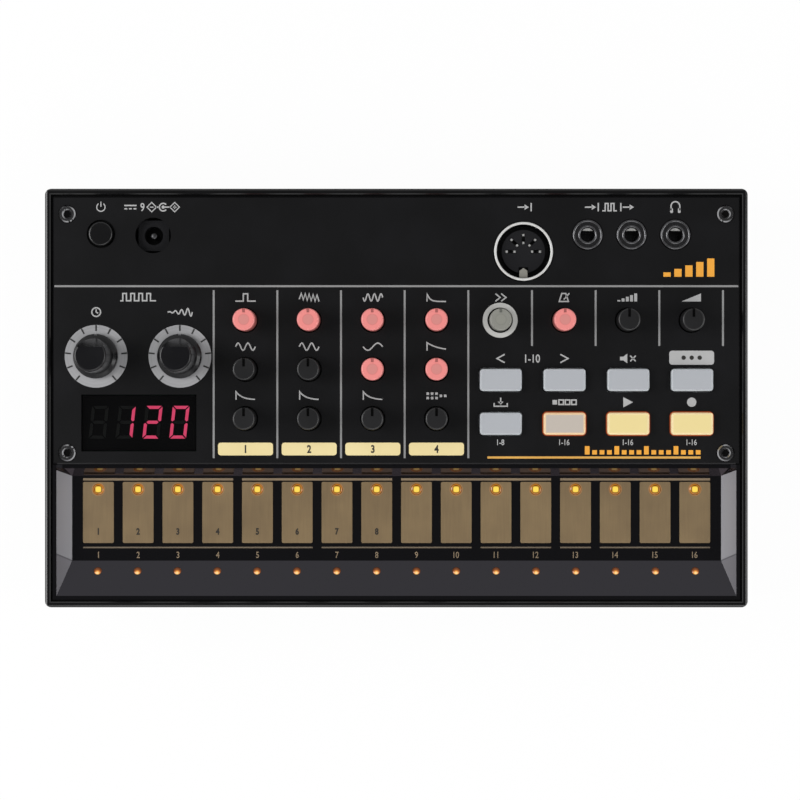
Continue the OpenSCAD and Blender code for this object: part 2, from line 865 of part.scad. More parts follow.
module big_knob(p) {
    round = knob_round;
    top = panel_top + big_h;
    shoulder = panel_top + skirt_h;
    foot_grip = grip_r + grip_flare;
    facet_run = skirt_r - facet_in - facet_y;
    facet_lean = atan(facet_run / (top - shoulder));
    facet_l = (top - shoulder) / cos(facet_lean);
    color("#202021")
    at([p]) difference() {
        rotate_extrude() {
            polygon([[0, skirt_low], [skirt_r, skirt_low], [skirt_r, shoulder - skirt_drop],
                [skirt_r - skirt_bevel, shoulder - skirt_drop + skirt_bevel], [foot_grip, shoulder],
                [grip_r, top - round], [0, top - round]]);
            translate([0, top - 2 * round]) square([grip_r - round, 2 * round]);
            translate([grip_r - round, top - round]) circle(round);
        }
        rod(big_shaft_r + press_gap, skirt_low - cut, top - knob_cap);
        translate([0, facet_y, top]) rotate([facet_lean, 0, 0])
            translate([-skirt_r, 0, -facet_l]) cube([2 * skirt_r, 2 * skirt_r, big_h]);
        translate([-notch_w / 2, skirt_r - notch_deep, skirt_low - cut])
            cube([notch_w, 2 * notch_deep, skirt_h + cut]);
    }
}

module scale_rings() {
    color("#9c9c9e")
    at(big_at) difference() {
        rod(scale_r, panel_top, panel_top + scale_t);
        rod(bushing_r + bushing_gap, panel_top - cut, panel_top + cut);
    }
}

module speed_ring() {
    color("#d8d2c8")
    at([speed_at]) difference() {
        rod(dial_hole_r + ring_w, panel_low, panel_top + ring_proud);
        rod(dial_hole_r, panel_low - cut, panel_top + cut);
    }
}

module tact_switches() {
    top = flange_low - button_travel - plunger_gap;
    color("#333335")
    at(concat([for (b = BUTTONS) [button_x(b[1]), button_y(b[2])]], [power_at])) {
        box(switch_w, switch_w, board_top, top - plunger_h);
        rod(plunger_r, top - plunger_h - embed, top);
    }
}

module panel_button(b) {
    h = panel_top + button_h - flange_top;
    color("#b4b8be")
    translate([button_x(b[1]), button_y(b[2]), 0]) {
        box(button_w + 2 * button_flange, button_d + 2 * button_flange, flange_low, flange_top);
        translate([0, 0, flange_top - embed])
            soft_block(button_w, button_d, h + embed, button_cr, button_er);
    }
}

module power_button() {
    top = panel_top + power_h;
    round = power_round;
    color("#2a2a2b")
    at([power_at]) rotate_extrude() {
        translate([0, flange_low]) square([power_r + power_flange, flange_t]);
        translate([0, flange_low]) square([power_r, top - round - flange_low]);
        translate([0, flange_low]) square([power_r - round, top - flange_low]);
        translate([power_r - round, top - round]) circle(round);
    }
}

module display_window() {
    color("#1a0c10")
    at([display_at]) box(display_w - 2 * fit, display_d - 2 * fit, panel_top - display_sink - window_t,
        panel_top - display_sink);
}

module display_module() {
    color("#101011")
    at([display_at]) box(display_w - 2 * module_gap, display_d - 2 * module_gap, board_top, module_top);
}

// One segment's outline, leaned like the digits: from x0, y0 to x1, y1
digit_lean = 0.11;
function leaned(p) = [p[0] + digit_lean * p[1], p[1]];
module segment(x0, y0, x1, y1) {
    polygon([leaned([x0, y0]), leaned([x1, y0]), leaned([x1, y1]), leaned([x0, y1])]);
}

module digit() {
    t = segment_t;
    w = digit_w / 2;
    h = digit_h / 2;
    s = segment_gap;
    for (y = [-h, -t / 2, h - t])
        segment(-w + t + s, y, w - t - s, y + t);
    for (x = [-w, w - t]) {
        segment(x, s + t / 4, x + t, h - s);
        segment(x, -h + s, x + t, -s - t / 4);
    }
    translate([w + point_in - digit_lean * h, point_r - h]) circle(point_r);
}

module display_segments() {
    color("#d84669")
    translate([display_at[0], display_at[1], module_top]) linear_extrude(segment_h)
        for (i = [0:3])
            translate([(i - 1.5) * digit_pitch - digits_left, digits_up]) digit();
}

module dc_jack() {
    top = panel_low - flange_gap;
    color("#151516")
    at([dc_at]) {
        difference() {
            union() {
                translate([0, 0, top - dc_deep - dc_floor])
                    linear_extrude(dc_deep + dc_floor) plan(dc_w, dc_w, dc_cr);
                box(dc_w + 2 * seat_w, dc_w + 2 * seat_w, board_top, board_top + seat_t);
            }
            rod(dc_bore_r, top - dc_deep, top + cut);
        }
        rod(dc_pin_r, top - dc_deep, top - dc_pin_down);
    }
}

module din_shell() {
    top = panel_top + din_proud;
    inner = din_r - din_wall;
    root = -inner - din_wall / 2;
    tip = key_l - din_r;
    color("#b9babd")
    at([din_at]) {
        rotate_extrude()
            polygon([[inner, board_top], [din_r, board_top], [din_r, top - din_bevel],
                [din_r - din_bevel, top], [inner + din_bevel, top], [inner, top - din_bevel]]);
        translate([0, 0, panel_top - key_deep]) linear_extrude(key_deep - din_proud)
            polygon([[-key_w / 2, root], [key_w / 2, root], [key_w / 2, tip - key_point],
                [0, tip], [-key_w / 2, tip - key_point]]);
    }
}

module din_insert() {
    color("#1b1b1c")
    at([din_at]) difference() {
        union() {
            rod(din_r - din_wall - run, board_top, board_top + din_base);
            rod(din_core_r, board_top, din_face);
        }
        translate([-key_w / 2 - key_gap, -din_r, panel_top - key_deep - key_gap])
            cube([key_w + 2 * key_gap, key_l + key_gap, key_deep + cut]);
        for (a = [0:45:180])
            rotate([0, 0, a]) translate([slot_from, -slot_t / 2, din_face - din_slot])
                cube([slot_l, slot_t, din_slot + cut]);
    }
}

module din_contacts() {
    color("#c8c8ca")
    at([din_at])
        for (a = [0:45:180], r = contact_at)
            rotate([0, 0, a]) translate([r, -contact_w / 2, din_face - din_slot])
                cube([contact_w, contact_w, din_slot - contact_w / 2]);
}

module audio_jacks() {
    top = panel_top + jack_proud;
    face = top - bead_r;
    mouth = jack_bore_r + mouth_t;
    color("#121213")
    at(jack_at) difference() {
        union() {
            box(jack_w, jack_d, top - jack_deep - jack_floor, flange_top);
            box(jack_w + 2 * seat_w, jack_d + 2 * seat_w, board_top, board_top + seat_t);
            rod(jack_collar_r, flange_top - embed, face);
            for (r = [jack_collar_r - bead_r, mouth + bead_r - bead_in])
                rotate_extrude() translate([r, face]) circle(bead_r);
        }
        rod(jack_bore_r, top - jack_deep, top + cut);
        translate([0, 0, face - mouth_deep]) cylinder(r1 = jack_bore_r, r2 = mouth, h = mouth_deep);
        rod(mouth, face - run, top + cut);
    }
}

module speaker_frame() {
    r = speaker_r;
    color("#4b4b4e")
    translate([speaker_x, speaker_y, floor_z]) {
        rotate_extrude()
            polygon([[r - speaker_rim, 0], [r, 0], [r, rim_t], [r - speaker_rim + basket_t, rim_t],
                [r / 2 + basket_t, basket_h + basket_t], [0, basket_h + basket_t], [0, basket_h],
                [r / 2 + basket_t / 2, basket_h], [r - speaker_rim, rim_t - cone_gap]]);
        rod(r / 2, basket_h + basket_t, basket_h + basket_t + magnet_h);
    }
}

module speaker_cone() {
    r = speaker_r - speaker_rim;
    color("#232324")
    translate([speaker_x, speaker_y, floor_z]) rotate_extrude()
        polygon([[r, cone_gap], [r, cone_gap + cone_t], [cap_r, cap_z + cone_t],
            [cap_dip_r, cap_z + cone_t - cap_dip / 2], [0, cap_z + cone_t - cap_dip],
            [0, cap_z - cap_dip], [cap_dip_r, cap_z - cap_dip / 2], [cap_r, cap_z]]);
}

module battery_contacts() {
    end = bay_w / 2;
    z = foot_h + (bay_h + door_t) / 2;
    color("#b8b8ba")
    for (j = [-1:1], sx = [-1, 1])
        translate([bay_x + sx * end, bay_y + j * cell_pitch, z]) rotate([0, -sx * 90, 0]) {
            box(plate_h, plate_w, 0, plate_t);
            if (sx * (j == 0 ? -1 : 1) > 0)
                rod(button_end_r, 0, 3 * plate_t);
            else
                translate([0, 0, plate_t / 2]) cylinder(r1 = spring_r1, r2 = spring_r2, h = spring_h);
        }
}

module battery_door() {
    l = bay_w - 2 * door_gap;
    color("#262626")
    difference() {
        union() {
            translate([bay_x - l / 2, hinge_y, foot_h]) cube([l, door_free - hinge_y, door_t]);
            translate([bay_x, hinge_y, hinge_z]) rotate([0, 90, 0]) {
                cylinder(r = door_t / 2, h = l, center = true);
                cylinder(r = pin_r, h = bay_w + 2 * pin_l, center = true);
            }
        }
        for (i = [-2:2])
            translate([bay_x + i * grip_pitch, door_free - grip_in, foot_h])
                box(grip_w, grip_l, -cut, grip_deep);
    }
}

bottom_case();
top_case();
control_panel();
panel_screws();
case_screws();
rubber_feet();
key_tray();
touch_board();
step_pads();
step_leds();
step_lenses();
main_board();
ribbon_cable();
small_pots();
big_pots();
scale_rings();
speed_ring();
tact_switches();
display_window();
display_module();
display_segments();
dc_jack();
din_shell();
din_insert();
din_contacts();
audio_jacks();
speaker_frame();
speaker_cone();
battery_contacts();
battery_door();
big_knob(big_at[0]);  // time_knob
big_shaft(big_at[0]);  // time_shaft
big_knob(big_at[1]);  // depth_knob
big_shaft(big_at[1]);  // depth_shaft
power_button();
for (d = DIALS)
    small_dial(d);
for (b = BUTTONS)
    panel_button(b);
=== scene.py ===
import math

import bpy
import numpy as np
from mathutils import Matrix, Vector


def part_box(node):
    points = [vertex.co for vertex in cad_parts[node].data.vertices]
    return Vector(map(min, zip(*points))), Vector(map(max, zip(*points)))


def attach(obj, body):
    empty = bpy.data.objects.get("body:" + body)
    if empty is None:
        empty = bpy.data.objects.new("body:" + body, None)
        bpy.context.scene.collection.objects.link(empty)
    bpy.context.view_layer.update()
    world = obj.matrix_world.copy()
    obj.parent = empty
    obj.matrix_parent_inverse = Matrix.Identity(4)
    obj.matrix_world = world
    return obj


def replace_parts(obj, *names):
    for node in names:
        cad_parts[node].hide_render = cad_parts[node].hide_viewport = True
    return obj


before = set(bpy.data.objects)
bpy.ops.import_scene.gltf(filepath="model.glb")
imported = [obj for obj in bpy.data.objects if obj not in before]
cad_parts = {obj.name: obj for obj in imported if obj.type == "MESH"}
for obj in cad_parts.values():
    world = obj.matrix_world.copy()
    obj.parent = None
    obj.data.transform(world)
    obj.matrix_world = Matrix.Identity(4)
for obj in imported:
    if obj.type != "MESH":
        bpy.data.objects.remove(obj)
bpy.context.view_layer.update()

# Casing halves and battery door. Injection-moulded ABS shells with a glossy skin that shows a faint
# grain; the halves meet at a shadow gap half way up and long screws from below hold them together.
MM = 0.001
CASE_BLACK = "#0D0D0E"
CASE_RUBBED = "#151516"
CASE_GRAIN = 0.45 * MM
HANDLING_MARK = 18 * MM
MARKS_FROM = 0.42
MARKS_FULL = 0.8
GRAIN_DEEP = 0.02 * MM


def linear(code):
    """Turns a hex colour to linear light: each channel goes through the sRGB curve."""
    part = np.array([int(code[i:i + 2], 16) for i in (1, 3, 5)]) / 255.0
    curve = np.where(part <= 0.04045, part / 12.92, ((part + 0.055) / 1.055) ** 2.4)
    return (*curve.tolist(), 1.0)


def feed(node, inputs):
    """Fills a node's inputs: another node gives its first output, a socket is wired, a hex colour goes
    in as linear light and any other value as it is."""
    for name, value in inputs.items():
        if isinstance(value, bpy.types.Node):
            value = next(output for output in value.outputs if output.enabled)
        if isinstance(value, bpy.types.NodeSocket):
            node.id_data.links.new(value, node.inputs[name])
        elif isinstance(value, str):
            node.inputs[name].default_value = linear(value)
        else:
            node.inputs[name].default_value = value


def add(tree, kind, inputs=None, stops=(), **settings):
    """Adds one node with its settings, the stops of its colour ramp where it has one, and its inputs."""
    node = tree.nodes.new("ShaderNode" + kind)
    for name, value in settings.items():
        setattr(node, name, value)
    if stops:
        ramp = node.color_ramp.elements
        for position, colour in stops[1:-1]:
            ramp.new(position).color = linear(colour)
        for end in (0, -1):
            ramp[end].position = stops[end][0]
            ramp[end].color = linear(stops[end][1])
    feed(node, inputs or {})
    return node


def start(name, **settings):
    """Opens a material whose one shader has the plain settings given, and returns it with its tree, its
    shader and the object's own coordinates."""
    material = bpy.data.materials.new(name)
    material.use_nodes = True
    tree = material.node_tree
    tree.nodes.clear()
    shader = add(tree, "BsdfPrincipled")
    feed(shader, {key.replace("_", " "): value for key, value in settings.items()})
    add(tree, "OutputMaterial", {"Surface": shader})
    return material, tree, shader, add(tree, "TexCoord").outputs["Object"]


def moulded(name, colour, rubbed, grain, rough, bump=0.12, **settings):
    """Moulded plastic: an even colour with faint handling marks, and a grain that breaks up the gloss."""
    material, tree, shader, place = start(name, **settings)
    fine = add(tree, "TexNoise", {"Vector": place, "Scale": 1 / grain, "Detail": 2.0})
    marks = add(tree, "TexNoise", {"Vector": place, "Scale": 1 / HANDLING_MARK, "Detail": 5.0})
    tint = add(tree, "ValToRGB", {"Fac": marks}, ((MARKS_FROM, colour), (MARKS_FULL, rubbed)))
    gloss = add(tree, "MapRange", {"Value": marks, "To Min": rough[0], "To Max": rough[1]})
    skin = add(tree, "Bump", {"Height": fine, "Strength": bump, "Distance": GRAIN_DEEP})
    feed(shader, {"Base Color": tint, "Roughness": gloss, "Normal": skin})
    return material


def dress(material, *nodes):
    """Puts one finish on every material slot of the named CAD nodes."""
    for node in nodes:
        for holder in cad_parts[node].material_slots:
            holder.material = material


case_abs = moulded("case_gloss_abs", CASE_BLACK, CASE_RUBBED, CASE_GRAIN, (0.13, 0.2), bump=0.08)
dress(case_abs, "bottom_case", "top_case", "battery_door")

# Feet. Soft black rubber discs pressed into shallow seats in the casing's floor.
# Moulded rubber is dull and a little dusty, with a coarse matt skin.
dress(moulded("foot_rubber", "#131313", "#2A2926", 0.7 * MM, (0.75, 0.9), bump=0.4), "rubber_feet")

# Battery contacts and loudspeaker. Nickel-plated spring plates in the bay, a pressed steel basket
# with its magnet, and a coated paper cone behind the grille.
POLISHED = 0.06
DULLED = 0.08


def plated(name, dark, light, streak, rough, metal=1.0):
    """Plated metal: fine noise of one real streak size varies tone and roughness a little."""
    material, tree, shader, place = start(name, Metallic=metal)
    grit = add(tree, "TexNoise", {"Vector": place, "Scale": 1 / streak, "Detail": 3.0})
    tone = add(tree, "Mix", {"Factor": grit, "A": dark, "B": light}, data_type="RGBA")
    gloss = add(tree, "MapRange", {"Value": grit, "To Min": rough - POLISHED, "To Max": rough + DULLED})
    feed(shader, {"Base Color": tone, "Roughness": gloss})
    return material


dress(plated("spring_nickel", "#B9B6AE", "#D8D6D0", 0.6 * MM, 0.22), "battery_contacts")
dress(plated("basket_steel", "#3A3A3C", "#525255", 0.8 * MM, 0.45), "speaker_frame")
dress(moulded("cone_paper", "#151515", "#262524", 0.6 * MM, (0.8, 0.95), bump=0.5), "speaker_cone")

# Circuit boards, flat cable, potentiometers and switches. Green solder mask over glass laminate with
# moulded housings soldered to it, and a grey vinyl ribbon between the boards.
dress(moulded("solder_mask", "#14402C", "#1E5A3E", 2 * MM, (0.3, 0.45)), "main_board", "touch_board")
dress(moulded("cable_vinyl", "#8C8C90", "#9C9CA0", 1.2 * MM, (0.4, 0.5)), "ribbon_cable")
housing_nylon = moulded("housing_nylon", "#101011", "#18181A", 0.8 * MM, (0.45, 0.6))
dress(housing_nylon, "small_pots", "big_pots", "tact_switches")

# Key tray. One glossy ABS moulding: a black floor, a dark front slope that mirrors the room, and two
# end cheeks sprayed satin grey up to a masked line. On the cheeks a painted shade darkens the grey
# towards the top and over their front corners, with a darker painted crease along the fold line. The
# steep wall behind the pads is polished, so it shows their ends and lamps again.
TRAY_BLACK = "#0A0A0B"
CHEEK_LOW = "#98979A"
CHEEK_HIGH_SHADED = "#828184"
FOLD_PAINTED_SHADES = ((0.0, "#CDCCCE"), (0.4, "#8E8D8F"), (0.6, "#8E8D8F"), (1.0, "#FFFFFF"))
CHEEK_LEAN = 0.6
WALL_MIRROR = "#726A6C"
FLOOR_HALF_X = 89.8 * MM
FLOOR_BACK = -21.55 * MM
FLOOR_FRONT = -45.0 * MM
MASK_RISE = 0.5
FOLD_RISE = 0.62
CREASE_SHADE_HALF = 0.3 * MM
TRAY_IOR = 1.7
TRAY_TINT = "#F4F0FF"
TRAY_ROUGH = (0.06, 0.16)
CHEEK_ROUGH = 0.42
FINGER_SMEAR = 14 * MM
floor_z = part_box("step_pads")[0].z
tray_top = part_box("key_tray")[1].z
tray_abs, tree, shader, place = start("tray_gloss_abs", IOR=TRAY_IOR, Specular_Tint=TRAY_TINT)
outward = add(tree, "NewGeometry").outputs["Normal"]
facing = add(tree, "SeparateXYZ", {"Vector": outward})
sideways = add(tree, "Math", {0: facing.outputs["X"]}, operation="ABSOLUTE")
leaning = add(tree, "Math", {0: sideways, 1: CHEEK_LEAN}, operation="GREATER_THAN")
level = add(tree, "SeparateXYZ", {"Vector": place})
from_middle = add(tree, "Math", {0: level.outputs["X"]}, operation="ABSOLUTE")
beyond = add(tree, "Math", {0: from_middle, 1: FLOOR_HALF_X}, operation="SUBTRACT")
mask_line = add(tree, "Math", {0: beyond, 1: MASK_RISE, 2: FLOOR_BACK}, operation="MULTIPLY_ADD")
sprayed = add(tree, "Math", {0: level.outputs["Y"], 1: mask_line}, operation="LESS_THAN")
cheek = add(tree, "Math", {0: leaning, 1: sprayed}, operation="MULTIPLY")
fold_line = add(tree, "Math", {0: beyond, 1: FOLD_RISE, 2: FLOOR_FRONT}, operation="MULTIPLY_ADD")
past_fold = add(tree, "Math", {0: level.outputs["Y"], 1: fold_line}, operation="SUBTRACT")
# painted shade: the cheeks' front corners and a thin crease along the fold line are darkened
crease_shade = add(tree, "MapRange", {"Value": past_fold, "From Min": -CREASE_SHADE_HALF, "From Max": CREASE_SHADE_HALF})
painted_fold_shade = add(tree, "ValToRGB", {"Fac": crease_shade}, FOLD_PAINTED_SHADES)
# painted shade: the cheek grey darkens from the floor up to the rim
rise = add(tree, "MapRange", {"Value": level.outputs["Z"], "From Min": floor_z, "From Max": tray_top})
height_shaded_tone = add(tree, "Mix", {"Factor": rise, "A": CHEEK_LOW, "B": CHEEK_HIGH_SHADED}, data_type="RGBA")
shaded_cheek_tone = add(tree, "Mix", {"Factor": 1.0, "A": height_shaded_tone, "B": painted_fold_shade}, data_type="RGBA",
                 blend_type="MULTIPLY")
tray_tone = add(tree, "Mix", {"Factor": cheek, "A": TRAY_BLACK, "B": shaded_cheek_tone}, data_type="RGBA")
wall = add(tree, "Math", {0: facing.outputs["Y"], 1: -CHEEK_LEAN}, operation="LESS_THAN")
skin_tone = add(tree, "Mix", {"Factor": wall, "A": tray_tone, "B": WALL_MIRROR}, data_type="RGBA")
smear = add(tree, "TexNoise", {"Vector": place, "Scale": 1 / FINGER_SMEAR, "Detail": 4.0})
shine = add(tree, "MapRange", {"Value": smear, "To Min": TRAY_ROUGH[0], "To Max": TRAY_ROUGH[1]})
satin = add(tree, "Mix", {"Factor": cheek, "A": shine, "B": CHEEK_ROUGH})
feed(shader, {"Base Color": skin_tone, "Metallic": wall, "Roughness": satin})
dress(tray_abs, "key_tray")

# Touch pads. Sixteen thin plates with a satin bronze film, brushed lengthways; real brush lines are finer
# and are drawn half a millimetre wide so that they show. A lamp shines through the back end of each
# pad, and a pool of its amber light is painted on the film close round it as a faint emission.
PADS = 16
BRONZE = ((0.3, "#6D5B41"), (0.7, "#806C4D"))
BRONZE_ROUGH = 0.42
PAINTED_PAD_GLOW = "#D07A1A"
BRUSH_LINE = 0.5 * MM
BRUSH_LENGTH = 9 * MM
CLOUD = 11 * MM
PAINTED_GLOW_REACH = 1.95 * MM
PAINTED_GLOW_LIGHT = 0.5
BRUSH_SHARE = 0.35
BRUSH_RELIEF = 0.08


def middle(node):
    """Gives the middle of a CAD node's box in plan."""
    low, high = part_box(node)
    return (low.x + high.x) / 2, (low.y + high.y) / 2


pads_low, pads_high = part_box("step_pads")
lamps_low, lamps_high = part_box("step_leds")
lamp_y = middle("step_leds")[1]
lamp_r = (lamps_high.y - lamps_low.y) / 2
pad_pitch = (lamps_high.x - lamps_low.x - 2 * lamp_r) / (PADS - 1)
pad_w = pads_high.x - pads_low.x - pad_pitch * (PADS - 1)
pad_x = (np.arange(PADS) - (PADS - 1) / 2) * pad_pitch


def lamp_offset(tree, place, row_y):
    """Gives how far a point lies across and along from the nearest lamp: the row repeats every pad pitch."""
    axis = add(tree, "SeparateXYZ", {"Vector": place})
    from_end = add(tree, "Math", {0: axis.outputs["X"], 1: pad_pitch * PADS / 2}, operation="ADD")
    in_cell = add(tree, "Math", {0: from_end, 1: pad_pitch}, operation="MODULO")
    across = add(tree, "Math", {0: in_cell, 1: pad_pitch / 2}, operation="SUBTRACT")
    along = add(tree, "Math", {0: axis.outputs["Y"], 1: row_y}, operation="SUBTRACT")
    return add(tree, "CombineXYZ", {"X": across, "Y": along})


bronze_film, tree, shader, place = start("bronze_film", Roughness=BRONZE_ROUGH, Emission_Color=PAINTED_PAD_GLOW)
stretch = (1 / BRUSH_LINE, 1 / BRUSH_LENGTH, 1 / BRUSH_LENGTH)
brushed = add(tree, "Mapping", {"Vector": place, "Scale": stretch})
lines = add(tree, "TexNoise", {"Vector": brushed, "Scale": 1.0, "Detail": 3.0})
cloud = add(tree, "TexNoise", {"Vector": place, "Scale": 1 / CLOUD, "Detail": 3.0})
mottle = add(tree, "Mix", {"Factor": BRUSH_SHARE, "A": cloud, "B": lines})
tone = add(tree, "ValToRGB", {"Fac": mottle}, BRONZE)
# painted light: an amber pool round each lamp, laid on the film as emission that fades with distance
offset = lamp_offset(tree, place, lamp_y)
reach = add(tree, "VectorMath", {0: offset}, operation="LENGTH")
painted_glow = add(tree, "MapRange", {"Value": reach, "From Min": lamp_r, "From Max": PAINTED_GLOW_REACH,
                              "To Min": PAINTED_GLOW_LIGHT, "To Max": 0.0})
grit = add(tree, "Bump", {"Height": lines, "Strength": BRUSH_RELIEF, "Distance": GRAIN_DEEP})
feed(shader, {"Base Color": tone, "Emission Strength": painted_glow, "Normal": grit})
dress(bronze_film, "step_pads")

# Pad lamps and slope lamps. Clear amber epoxy over light-emitting diodes, all switched on: a yellow
# die shows in the middle, the epoxy darkens round it and its edge catches the light again.
DIE_YELLOW = "#FFDC5C"
EPOXY_AMBER = "#4A2604"
DIE_HALF = 0.61 * MM
DIE_BLUR = 0.34 * MM
LENS_R = 1.1 * MM


def lamp_epoxy(name, row_y, r, die, rings):
    """Lit epoxy: bands of colour by the distance from the lamp's axis, and over them a die with rounded
    corners, where the fourth root of the sum of fourth powers of the offsets stays under its half width."""
    material, tree, shader, place = start(name, Base_Color=EPOXY_AMBER, Roughness=0.15,
                                          Emission_Strength=1.0)
    offset = lamp_offset(tree, place, row_y)
    out = add(tree, "VectorMath", {0: offset}, operation="LENGTH")
    share = add(tree, "MapRange", {"Value": out, "From Max": r})
    bands = add(tree, "ValToRGB", {"Fac": share}, rings)
    squared = add(tree, "VectorMath", {0: offset, 1: offset}, operation="MULTIPLY")
    fourth = add(tree, "VectorMath", {0: squared, 1: squared}, operation="DOT_PRODUCT")
    soft_square = add(tree, "Math", {0: fourth, 1: 0.25}, operation="POWER")
    inside = add(tree, "MapRange", {"Value": soft_square, "From Min": die, "From Max": die + DIE_BLUR,
                                    "To Min": 1.0, "To Max": 0.0})
    light = add(tree, "Mix", {"Factor": inside, "A": bands, "B": DIE_YELLOW}, data_type="RGBA")
    feed(shader, {"Emission Color": light})
    return material


PAD_RINGS = ((0.0, "#FFC850"), (0.48, "#C87C18"), (0.62, "#5A3207"), (0.8, "#5A3207"), (0.88, "#C8822A"),
             (1.0, "#9C5E16"))
LENS_RINGS = ((0.0, "#FFE8B0"), (0.3, "#FFCC7C"), (0.52, "#D8862E"), (0.75, "#8C4A16"), (1.0, "#4C240A"))
lens_y = middle("step_lenses")[1]
dress(lamp_epoxy("pad_lamp_epoxy", lamp_y, lamp_r, DIE_HALF, PAD_RINGS), "step_leds")
dress(lamp_epoxy("slope_lamp_epoxy", lens_y, LENS_R, -DIE_BLUR, LENS_RINGS), "step_lenses")

# Print on the tray and pads. Tan screen ink on the black floor: bars over each group of four pads,
# rules under them and a plain number for each step; the first eight pads carry a dark number too.
# The ink keeps the print of its screen, drawn coarser than a real one so that it shows.
INK_T = 0.03 * MM
INK_SINK = 0.02 * MM
INK_MESH = 0.3 * MM
GROUP = 4
GROUP_BAR_Y = -22.5 * MM
GROUP_BAR_T = 0.64 * MM
STEP_RULE_Y = -41.35 * MM
STEP_RULE_T = 0.4 * MM
RULED = ((0, 5), (6, 9), (10, 11), (12, 12), (13, 15))
STEP_NUMBER_Y = -43.4 * MM
STEP_NUMBER_H = 1.75 * MM
PAD_NUMBER_Y = -36.9 * MM
PAD_NUMBER_H = 1.9 * MM
NUMBERED_PADS = 8


def ink(name, colour, dense):
    """Screen ink: the mesh it was pressed through varies its density and leaves a faint matt relief."""
    return moulded(name, dense, colour, INK_MESH, (0.5, 0.65), bump=0.1)


def join(parts):
    """Joins parts, each an array of points and a list of faces, to one pair."""
    starts = np.cumsum([0] + [len(points) for points, _ in parts])
    faces = [[i + int(first) for i in face] for first, (_, some) in zip(starts, parts) for face in some]
    return np.concatenate([points for points, _ in parts]), faces


def prism(outline, low, high):
    """Stands an outline, given anticlockwise, up between two levels: two flat ends and a wall of quads."""
    n = len(outline)
    ring = np.arange(n)
    after = np.roll(ring, -1)
    base = np.column_stack([outline, np.full(n, low)])
    top = np.column_stack([outline, np.full(n, high)])
    wall = np.column_stack([ring, after, after + n, ring + n]).tolist()
    return np.concatenate([base, top]), [ring[::-1].tolist(), (ring + n).tolist(), *wall]


def bar(x0, y0, x1, y1):
    """Outline of an upright rectangle between two corners."""
    return np.array([[x0, y0], [x1, y0], [x1, y1], [x0, y1]])


def figures(text, x, y, size, low, high, narrow=0.8, weight=0.012):
    """Takes a number from the built-in typeface, stands it up as a thin slab and centres it on a point."""
    curve = bpy.data.curves.new("figures", "FONT")
    curve.body = text
    curve.extrude = 0.5
    curve.offset = weight
    curve.resolution_u = 4
    holder = bpy.data.objects.new("figures", curve)
    bpy.context.collection.objects.link(holder)
    bpy.context.view_layer.update()
    mesh = bpy.data.meshes.new_from_object(holder)
    points = np.empty(len(mesh.vertices) * 3)
    mesh.vertices.foreach_get("co", points)
    points, same = np.unique(points.reshape(-1, 3).round(5), axis=0, return_inverse=True)
    same = same.reshape(-1)
    faces = [[int(same[i]) for i in face.vertices] for face in mesh.polygons]
    bpy.data.objects.remove(holder)
    bpy.data.curves.remove(curve)
    bpy.data.meshes.remove(mesh)
    lowest = points.min(0)
    highest = points.max(0)
    scale = size / (highest[1] - lowest[1]) * np.array([narrow, 1.0])
    flat = (points[:, :2] - (lowest + highest)[:2] / 2) * scale + np.array([x, y])
    return np.column_stack([flat, np.where(points[:, 2] > 0, high, low)]), faces


def piece(name, parts, material, body="casing"):
    """Makes one object of joined parts, gives it its finish and lets it ride on a body."""
    points, faces = join(parts)
    mesh = bpy.data.meshes.new(name)
    mesh.from_pydata(points.tolist(), [], faces)
    mesh.materials.append(material)
    mesh.update()
    made = bpy.data.objects.new(name, mesh)
    bpy.context.collection.objects.link(made)
    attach(made, body)
    return made


def level_rule(x0, x1, y, thick):
    """Outline of a level rule from one end to the other, half its thickness to each side of a line."""
    return bar(x0, y - thick / 2, x1, y + thick / 2)


tray_ink = (floor_z - INK_SINK, floor_z + INK_T)
pad_ink = (pads_high.z - INK_SINK, pads_high.z + INK_T)
pad_left = pad_x - pad_w / 2
pad_right = pad_x + pad_w / 2
group_bars = []
for i in range(0, PADS, GROUP):
    flat = level_rule(pad_left[i], pad_right[i + GROUP - 1], GROUP_BAR_Y, GROUP_BAR_T)
    group_bars.append(prism(flat, *tray_ink))
piece("pad_group_bars", group_bars, ink("tan_ink", "#867358", "#786750"))
step_numbers = [figures(str(i + 1), x, STEP_NUMBER_Y, STEP_NUMBER_H, *tray_ink) for i, x in enumerate(pad_x)]
piece("step_numbers", step_numbers, ink("dim_tan_ink", "#87745C", "#786852"))
step_rules = []
for first, last in RULED:
    flat = level_rule(pad_left[first], pad_right[last], STEP_RULE_Y, STEP_RULE_T)
    step_rules.append(prism(flat, *tray_ink))
piece("step_rules", step_rules, ink("brown_ink", "#6A5C4A", "#5E5242"))
pad_print = [figures(str(i + 1), pad_x[i], PAD_NUMBER_Y, PAD_NUMBER_H, *pad_ink, weight=0.045)
             for i in range(NUMBERED_PADS)]
piece("pad_print", pad_print, ink("pad_ink", "#1E170E", "#18120A"))

# Control panel. A flat plate with satin black paint, baked hard, with a very fine orange peel
# and bevelled upper edges that catch the light.
dress(moulded("panel_satin_paint", "#121213", "#161618", 0.8 * MM, (0.2, 0.27), bump=0.05), "control_panel")

# Panel rules and plates. Grey screen-printed rules divide the panel, cream plates with round corners
# carry the numbers of the four groups, and a grey plate marks the shift button.
panel_low, panel_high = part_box("control_panel")
panel_ink = (panel_high.z - INK_SINK, panel_high.z + INK_T)
over_ink = (panel_high.z + INK_T - INK_SINK, panel_high.z + 2 * INK_T)


